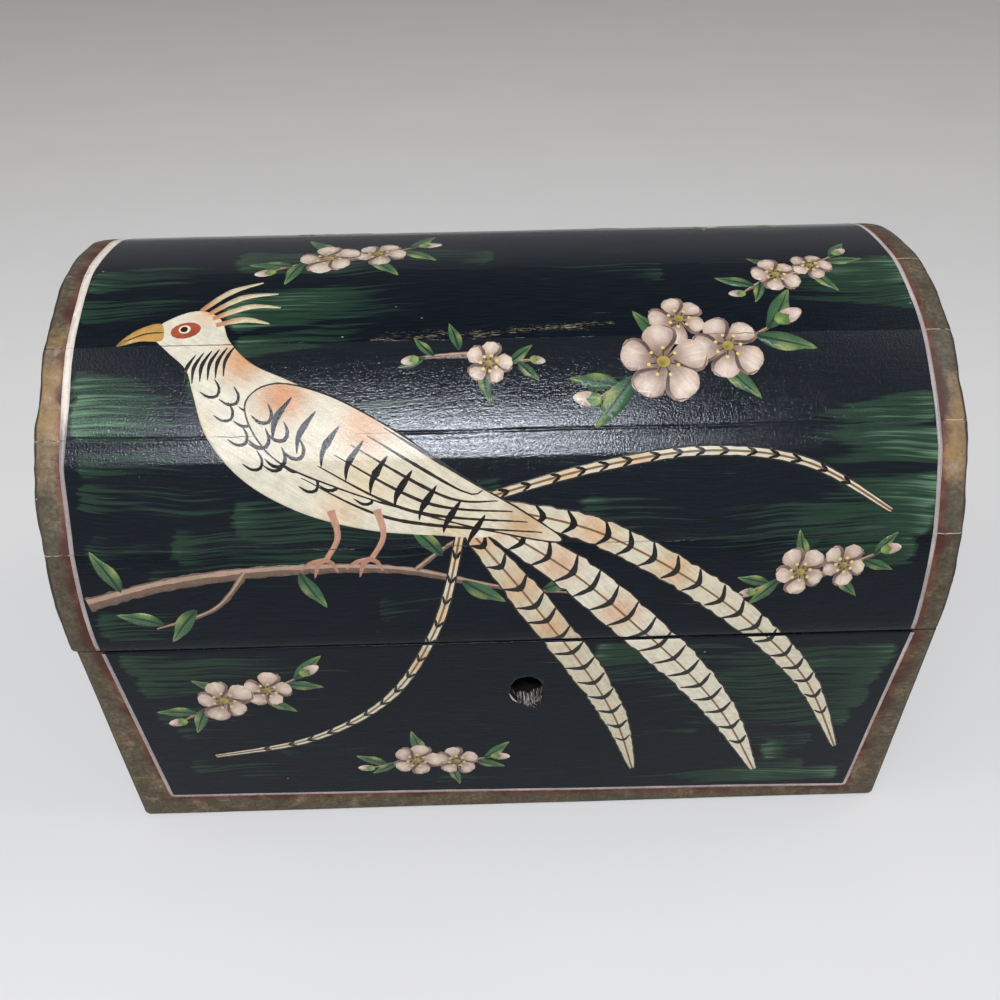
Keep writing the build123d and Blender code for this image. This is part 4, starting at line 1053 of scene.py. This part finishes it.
def lid_columns(step):
    """Columns along a stave, rounded at its ends and carried over them."""
    flat = [(u, 0.0) for u in spread(0.0, LID_END - CORNER, step)[1:-1]]
    tip = round_end(LID_END - CORNER, CORNER + COAT, (0, 15, 30, 45, 60, 75, 90))
    tip += [(LID_END + COAT, d) for d in (3.4, 4.8, 6.2, RING - 0.05)] + [(LID_END - 0.4, RING)]
    return [(-u, d) for u, d in reversed(flat + tip)] + [(0.0, 0.0)] + flat + tip


for index in range(STAVES):
    low, high = SPRING + index * ARC, SPRING + (index + 1) * ARC
    step = 0.85 if index < 4 else 1.6
    levels = [low, low + 0.5] + spread(low + 1.0, high - 1.0, step) + [high - 0.5, high]
    if index == 1:
        levels = sorted(v for v in levels + [FACET_FOOT] if v == FACET_FOOT or abs(v - FACET_FOOT) > 0.3)
    if index == 2:
        levels = [v for v in levels if abs(v - GROOVE) > 1.1]
        levels = sorted(levels + spread(GROOVE - 1.0, GROOVE + 1.0, 0.2))
    rows = [(v, 0.0) for v in levels]
    if index == 0:
        lower = [(LID_FOOT + 0.03, 0.42), (LID_FOOT + 0.1, 0.1), (LID_FOOT + 0.4, 0.0), (SPRING - 1.2, 0.0)]
        rows = lower + rows
    if index == STAVES - 1:
        rows += [(DOME_END + 0.3, 0.0), (WRAP - LID_BACK, 0.12)]
    coat(f"ground_stave_{index + 1}", "wrap", lid_columns(0.9 if index < 4 else 1.6), rows, "lid", 0.0)


# White lines inside the border

def line_tint(u, v):
    """Cream where the brush was full, greyed and pink where it was rubbed."""
    full = ease(116, 122, v) * (1 - ease(228, 240, v)) if u < 0 else 0.1 + 0.3 * ease(120, 160, v)
    return mix(linear("#9d8f8b"), linear("#e8dac8"), full + 0.3 * noise.noise((u / 9, v / 9, 4.0)))


def white_line(name, face, points, widths):
    painted(name, face, [(ribbon(points, widths, 1.6, 0.12), line_tint, math.pi / 2)], 3.0)


def open_frame(half, low, high):
    """Points down one side, along the bottom and up the other side, with the corners cut."""
    right = [(half - 0.7 if k else half, low if k else low + 0.7) for k in (1, 0)] + [(half, high)]
    return [(-u, v) for u, v in right[::-1]] + right


lid_levels = spread(SEAM + 0.5, WRAP - LID_BACK - 0.1, 11.0)
for side, label in ((-1, "left"), (1, "right")):
    points, widths = [], []
    for v in lid_levels:
        points.append((side * (lid_line(side, v) + 0.35 * noise.noise((v / 17, side, 1.0))), v))
        full = 1.65 if side < 0 and 119 < v < 236 else 0.95
        widths.append(full + 0.2 * noise.noise((v / 11, side, 7.0)))
    white_line(f"white_line_lid_{label}", "wrap", points, widths)
front_line = [(-94.25, 63.8), (-92.7, 36), (-91.15, 8.8), (-90.6, 8.5), (-60, 8.1), (0, 6.9), (60, 5.8),
              (91.6, 5.1), (92.3, 5.4), (93.8, 34), (95.6, 63.8)]
white_line("white_line_front", "wrap", front_line, [0.85, 0.95, 0.75, 0.9, 0.8, 0.95, 0.75, 0.9])
back_top = WRAP - HINGE_ROOM + 0.1
back_line = [(-BACK_LINE, back_top), (-BACK_LINE, WRAP - 8), (0.6 - BACK_LINE, WRAP - 7.4), (0, WRAP - 7.6),
             (BACK_LINE - 0.6, WRAP - 7.4), (BACK_LINE, WRAP - 8), (BACK_LINE, back_top)]
white_line("white_line_back", "wrap", back_line, [1.1, 1.0, 1.2, 1.0, 1.1])
angles = [math.radians(degrees) for degrees in range(180, -1, -12)]
arch = [(ARCH_LINE * math.cos(a), SPRING + ARCH_LINE * math.sin(a)) for a in angles]
arch = [(-ARCH_LINE, 64.6)] + arch + [(ARCH_LINE, 64.6)]
for face in ("left", "right"):
    white_line(f"white_line_{face}_wall", face, open_frame(SIDE_LINE, WALL_LINE, 63.8), [1.1, 1.0, 1.2, 1.0])
    white_line(f"white_line_{face}_arch", face, arch, [1.1, 1.0, 1.25, 1.0])


# Decoration and the torn keyhole

def lip(u):
    """Height of the keyhole's lower edge."""
    lower = sorted(p for p in KEYHOLE if p[1] < 45.5)
    for (ua, va), (ub, vb) in zip(lower, lower[1:]):
        if ua <= u <= ub:
            return va + (vb - va) * (u - ua) / (ub - ua)
    return 44.0


def torn_fibres(name, count=64):
    """Wood fibres pulled out of the lower half of the keyhole: three-sided splinters that end in a point."""
    draw = random.Random(7)
    points, faces = [], []
    for k in range(count):
        u = 2.4 + 5.6 * draw.random()
        deep, foot = draw.uniform(0.8, 3.2), lip(u)
        # Every eighth splinter hangs out over the edge
        long = draw.uniform(-1.2, 0.5) if k % 8 else draw.uniform(0.8, 2.4)
        lean = 0.1 * (u - 4.0) + draw.uniform(-0.7, 0.7)
        if k % 8 == 0:
            lean = draw.uniform(0.5, 1.3)
        wide = draw.uniform(0.08, 0.26)
        up = draw.uniform(0.1, 1.7) * draw.random()
        path = [(u - 0.4 * lean, deep, foot + up + 0.5), (u - 0.15 * lean, 0.5, foot + up),
                (u, -0.22, foot + 0.25 * up)]
        tip = (u + lean * max(long, 0.2), -HALF_DEPTH - 0.42 - draw.uniform(0.0, 0.25), foot - long)
        start = len(points)
        for (x, inwards, z), share in zip(path, (1.0, 0.9, 0.6)):
            half, y = wide * share, inwards - HALF_DEPTH
            points += [(x - half, y, z), (x, y - 0.8 * half, z + 0.5 * half), (x + half, y, z)]
        points.append(tip)
        faces.append((start + 2, start + 1, start))
        for row in (0, 3):
            for i in range(3):
                j = (i + 1) % 3
                faces.append((start + row + i, start + row + j, start + row + 3 + j, start + row + 3 + i))
        faces += [(start + 6 + i, start + 6 + (i + 1) % 3, start + 9) for i in range(3)]
    finish_mesh(name, [Vector(p) * MM for p in points], faces, "base", torn_wood)


painted("bird", "wrap", perch() + tail() + body_and_wing() + head_and_feet(), 1.7)
torn_fibres("keyhole_fibres")
chip_edge = [(0.35, 46.0), (0.75, 44.9), (1.3, 43.8), (2.3, 42.75)]
painted("keyhole_chip", "wrap", [brush(chip_edge, [0.1, 0.4, 0.45, 0.1], "#b9b1a1", -0.8, 0.4, 0.5)], 1.0)
# Name, face, place, size, turn, seed and number of flowers; the sprays in the picture are cut finer
FRONT_SPRAYS = [
    ("spray_front_low_left", "wrap", -65, 47, 0.86, 0.25, 11, 2),
    ("spray_front_middle", "wrap", -20, 20, 0.78, -0.1, 12, 2),
    ("spray_low_right", "wrap", 70, 82, 0.72, 0.12, 13, 2),
    ("spray_lid_right", "wrap", 42, 131, 1.12, 0.2, 14, 3),
    ("spray_lid_far_right", "wrap", 69, 156, 0.7, 0.3, 15, 2),
    ("spray_lid_middle", "wrap", -6, 132, 0.62, 2.9, 16, 1),
    ("spray_lid_top_left", "wrap", -36, 167, 0.9, 0.15, 17, 2),
]
OTHER_SPRAYS = [
    ("spray_top_left", "wrap", -58, 200, 1.1, -0.2, 31, 3),
    ("spray_top_right", "wrap", 52, 196, 1.0, 2.8, 32, 2),
    ("spray_lid_back_middle", "wrap", -2, 224, 1.25, 0.1, 33, 3),
    ("spray_lid_back_left", "wrap", -62, 250, 1.0, 0.5, 34, 2),
    ("spray_lid_back_right", "wrap", 60, 246, 1.05, -0.4, 35, 3),
    ("spray_back_middle", "wrap", 4, 310, 1.1, 3.2, 36, 3),
    ("spray_back_left", "wrap", -60, 312, 0.9, 0.2, 37, 2),
    ("spray_back_right", "wrap", 62, 308, 0.9, 2.9, 38, 2),
    ("spray_left_wall", "left", -4, 34, 1.15, 0.15, 41, 3),
    ("spray_left_arch", "left", 2, 90, 1.2, 0.1, 42, 3),
    ("spray_right_wall", "right", 6, 36, 1.15, 3.0, 43, 3),
    ("spray_right_arch", "right", -2, 88, 1.2, 3.1, 44, 3),
]
for sprays, step in ((FRONT_SPRAYS, 1.7), (OTHER_SPRAYS, 2.0)):
    for name, face, *where in sprays:
        painted(name, face, spray(*where), step)


def lid_end_coat(face, seed):
    """Ground on the half-round end of the lid."""
    angles = [2 * LEAN * k for k in range(STAVES + 1)]
    rim = [(END_ARCH * math.cos(a), SPRING + END_ARCH * math.sin(a)) for a in angles]
    foot = LID_FOOT + 0.05
    outline = []
    for (ua, va), (ub, vb) in zip([(END_ARCH, foot)] + rim, rim + [(-END_ARCH, foot)]):
        steps = max(1, round(math.dist((ua, va), (ub, vb)) / 1.6))
        outline += [(ua + (ub - ua) * k / steps, va + (vb - va) * k / steps) for k in range(steps)]
    outline += [(u, foot) for u in spread(-END_ARCH, END_ARCH, 1.6)[:-1]]
    flat = [Vector(p) for p in outline]
    for v in spread(LID_FOOT + 1.2, SPRING + (END_ARCH - 1.2), 1.6):
        for u in spread(0.7 - END_ARCH, END_ARCH - 0.7, 1.6):
            if inside(outline, u, v) and min(math.dist((u, v), p) for p in outline) > 0.7:
                flat.append(Vector((u, v)))
    loop = list(range(len(outline)))
    points, _, triangles, _, _, owners = delaunay_2d_cdt(flat, [], [loop], 0, 1e-4, True)
    spots = [(p.x, p.y, 0.3 if p.y < LID_FOOT + 0.3 else 0.0) for p in points]
    faces = [list(tri) for tri, owner in zip(triangles, owners) if owner]
    placed = [place(face, u, max(v, SEAM + 0.01), -drop) for u, v, drop in spots]
    piece = finish_mesh(f"ground_lid_{face}_end", placed, faces, "lid", rubbed_paint)
    store_marks(piece, face, spots, seed)


lid_end_coat("left", 40.0)
lid_end_coat("right", 80.0)


# Studio

def area_lamp(name, middle, aim, size, watts, colour="#ffffff"):
    data = bpy.data.lights.new(name, "AREA")
    data.shape = "RECTANGLE"
    data.size, data.size_y = size
    data.energy = watts
    data.color = linear(colour)
    lamp = bpy.data.objects.new(name, data)
    lamp.location = middle
    lamp.rotation_euler = (Vector(aim) - Vector(middle)).to_track_quat("-Z", "Y").to_euler()
    bpy.context.scene.collection.objects.link(lamp)


def studio():
    data = bpy.data.meshes.new("studio_floor")
    far = 4.0
    data.from_pydata([(-far, -far, 0), (far, -far, 0), (far, far, 0), (-far, far, 0)], [], [(0, 1, 2, 3)])
    floor = bpy.data.objects.new("studio_floor", data)
    bpy.context.scene.collection.objects.link(floor)
    made, t = new_material("matt_paper_floor")
    weave = add(t, "TexNoise", {"Vector": add(t, "TexCoord", out=3), "Scale": 9.0, "Detail": 2.0})
    colour = add(t, "Mix", {0: weave, 6: "#dedad4", 7: "#e4e0da"}, **COLOUR)
    output(t, {"Base Color": colour, "Roughness": 0.9})
    data.materials.append(made)
    # The overhead softbox is seen in the third stave; the others fill
    area_lamp("overhead_softbox", (-0.05, -0.66, 0.965), (0.0, -0.05, 0.11), (0.4, 0.1), 9.9, "#ecf3ff")
    area_lamp("left_reflector", (-0.38, -0.66, 0.965), (0.0, -0.05, 0.11), (0.34, 0.16), 1.2, "#e6eeff")
    area_lamp("left_fill", (-2.2, -0.2, 2.3), (0.0, 0.0, 0.06), (1.8, 1.8), 10.6)
    area_lamp("right_fill", (2.2, 0.3, 2.3), (0.0, 0.0, 0.06), (1.8, 1.8), 10.6)
    world = bpy.data.worlds.new("studio_air")
    world.use_nodes = True
    back = world.node_tree.nodes["Background"]
    back.inputs["Color"].default_value = rgba("#f1f2f5")
    back.inputs["Strength"].default_value = 0.36
    bpy.context.scene.world = world


def camera():
    data = bpy.data.cameras.new("camera")
    data.sensor_width = 36.0
    data.lens = 31.346
    data.clip_start, data.clip_end = 0.01, 20.0
    made = bpy.data.objects.new("camera", data)
    # Lens, angles and eye are fitted to the trunk's outline, seam and white lines
    eye = Vector((-3.461, -211.414, 211.905)) * MM
    pitch, yaw, roll = (math.radians(a) for a in (36.457, 0.886, -0.9))
    ahead = Vector((math.sin(yaw) * math.cos(pitch), math.cos(yaw) * math.cos(pitch), -math.sin(pitch)))
    level = Vector((math.cos(yaw), -math.sin(yaw), 0.0))
    upright = level.cross(ahead)
    right = level * math.cos(roll) + upright * math.sin(roll)
    up = upright * math.cos(roll) - level * math.sin(roll)
    turn = Matrix((right, up, -ahead)).transposed()
    made.matrix_world = Matrix.Translation(eye) @ turn.to_4x4()
    bpy.context.scene.collection.objects.link(made)
    bpy.context.scene.camera = made


studio()
camera()
bpy.context.scene.view_settings.view_transform = "Standard"
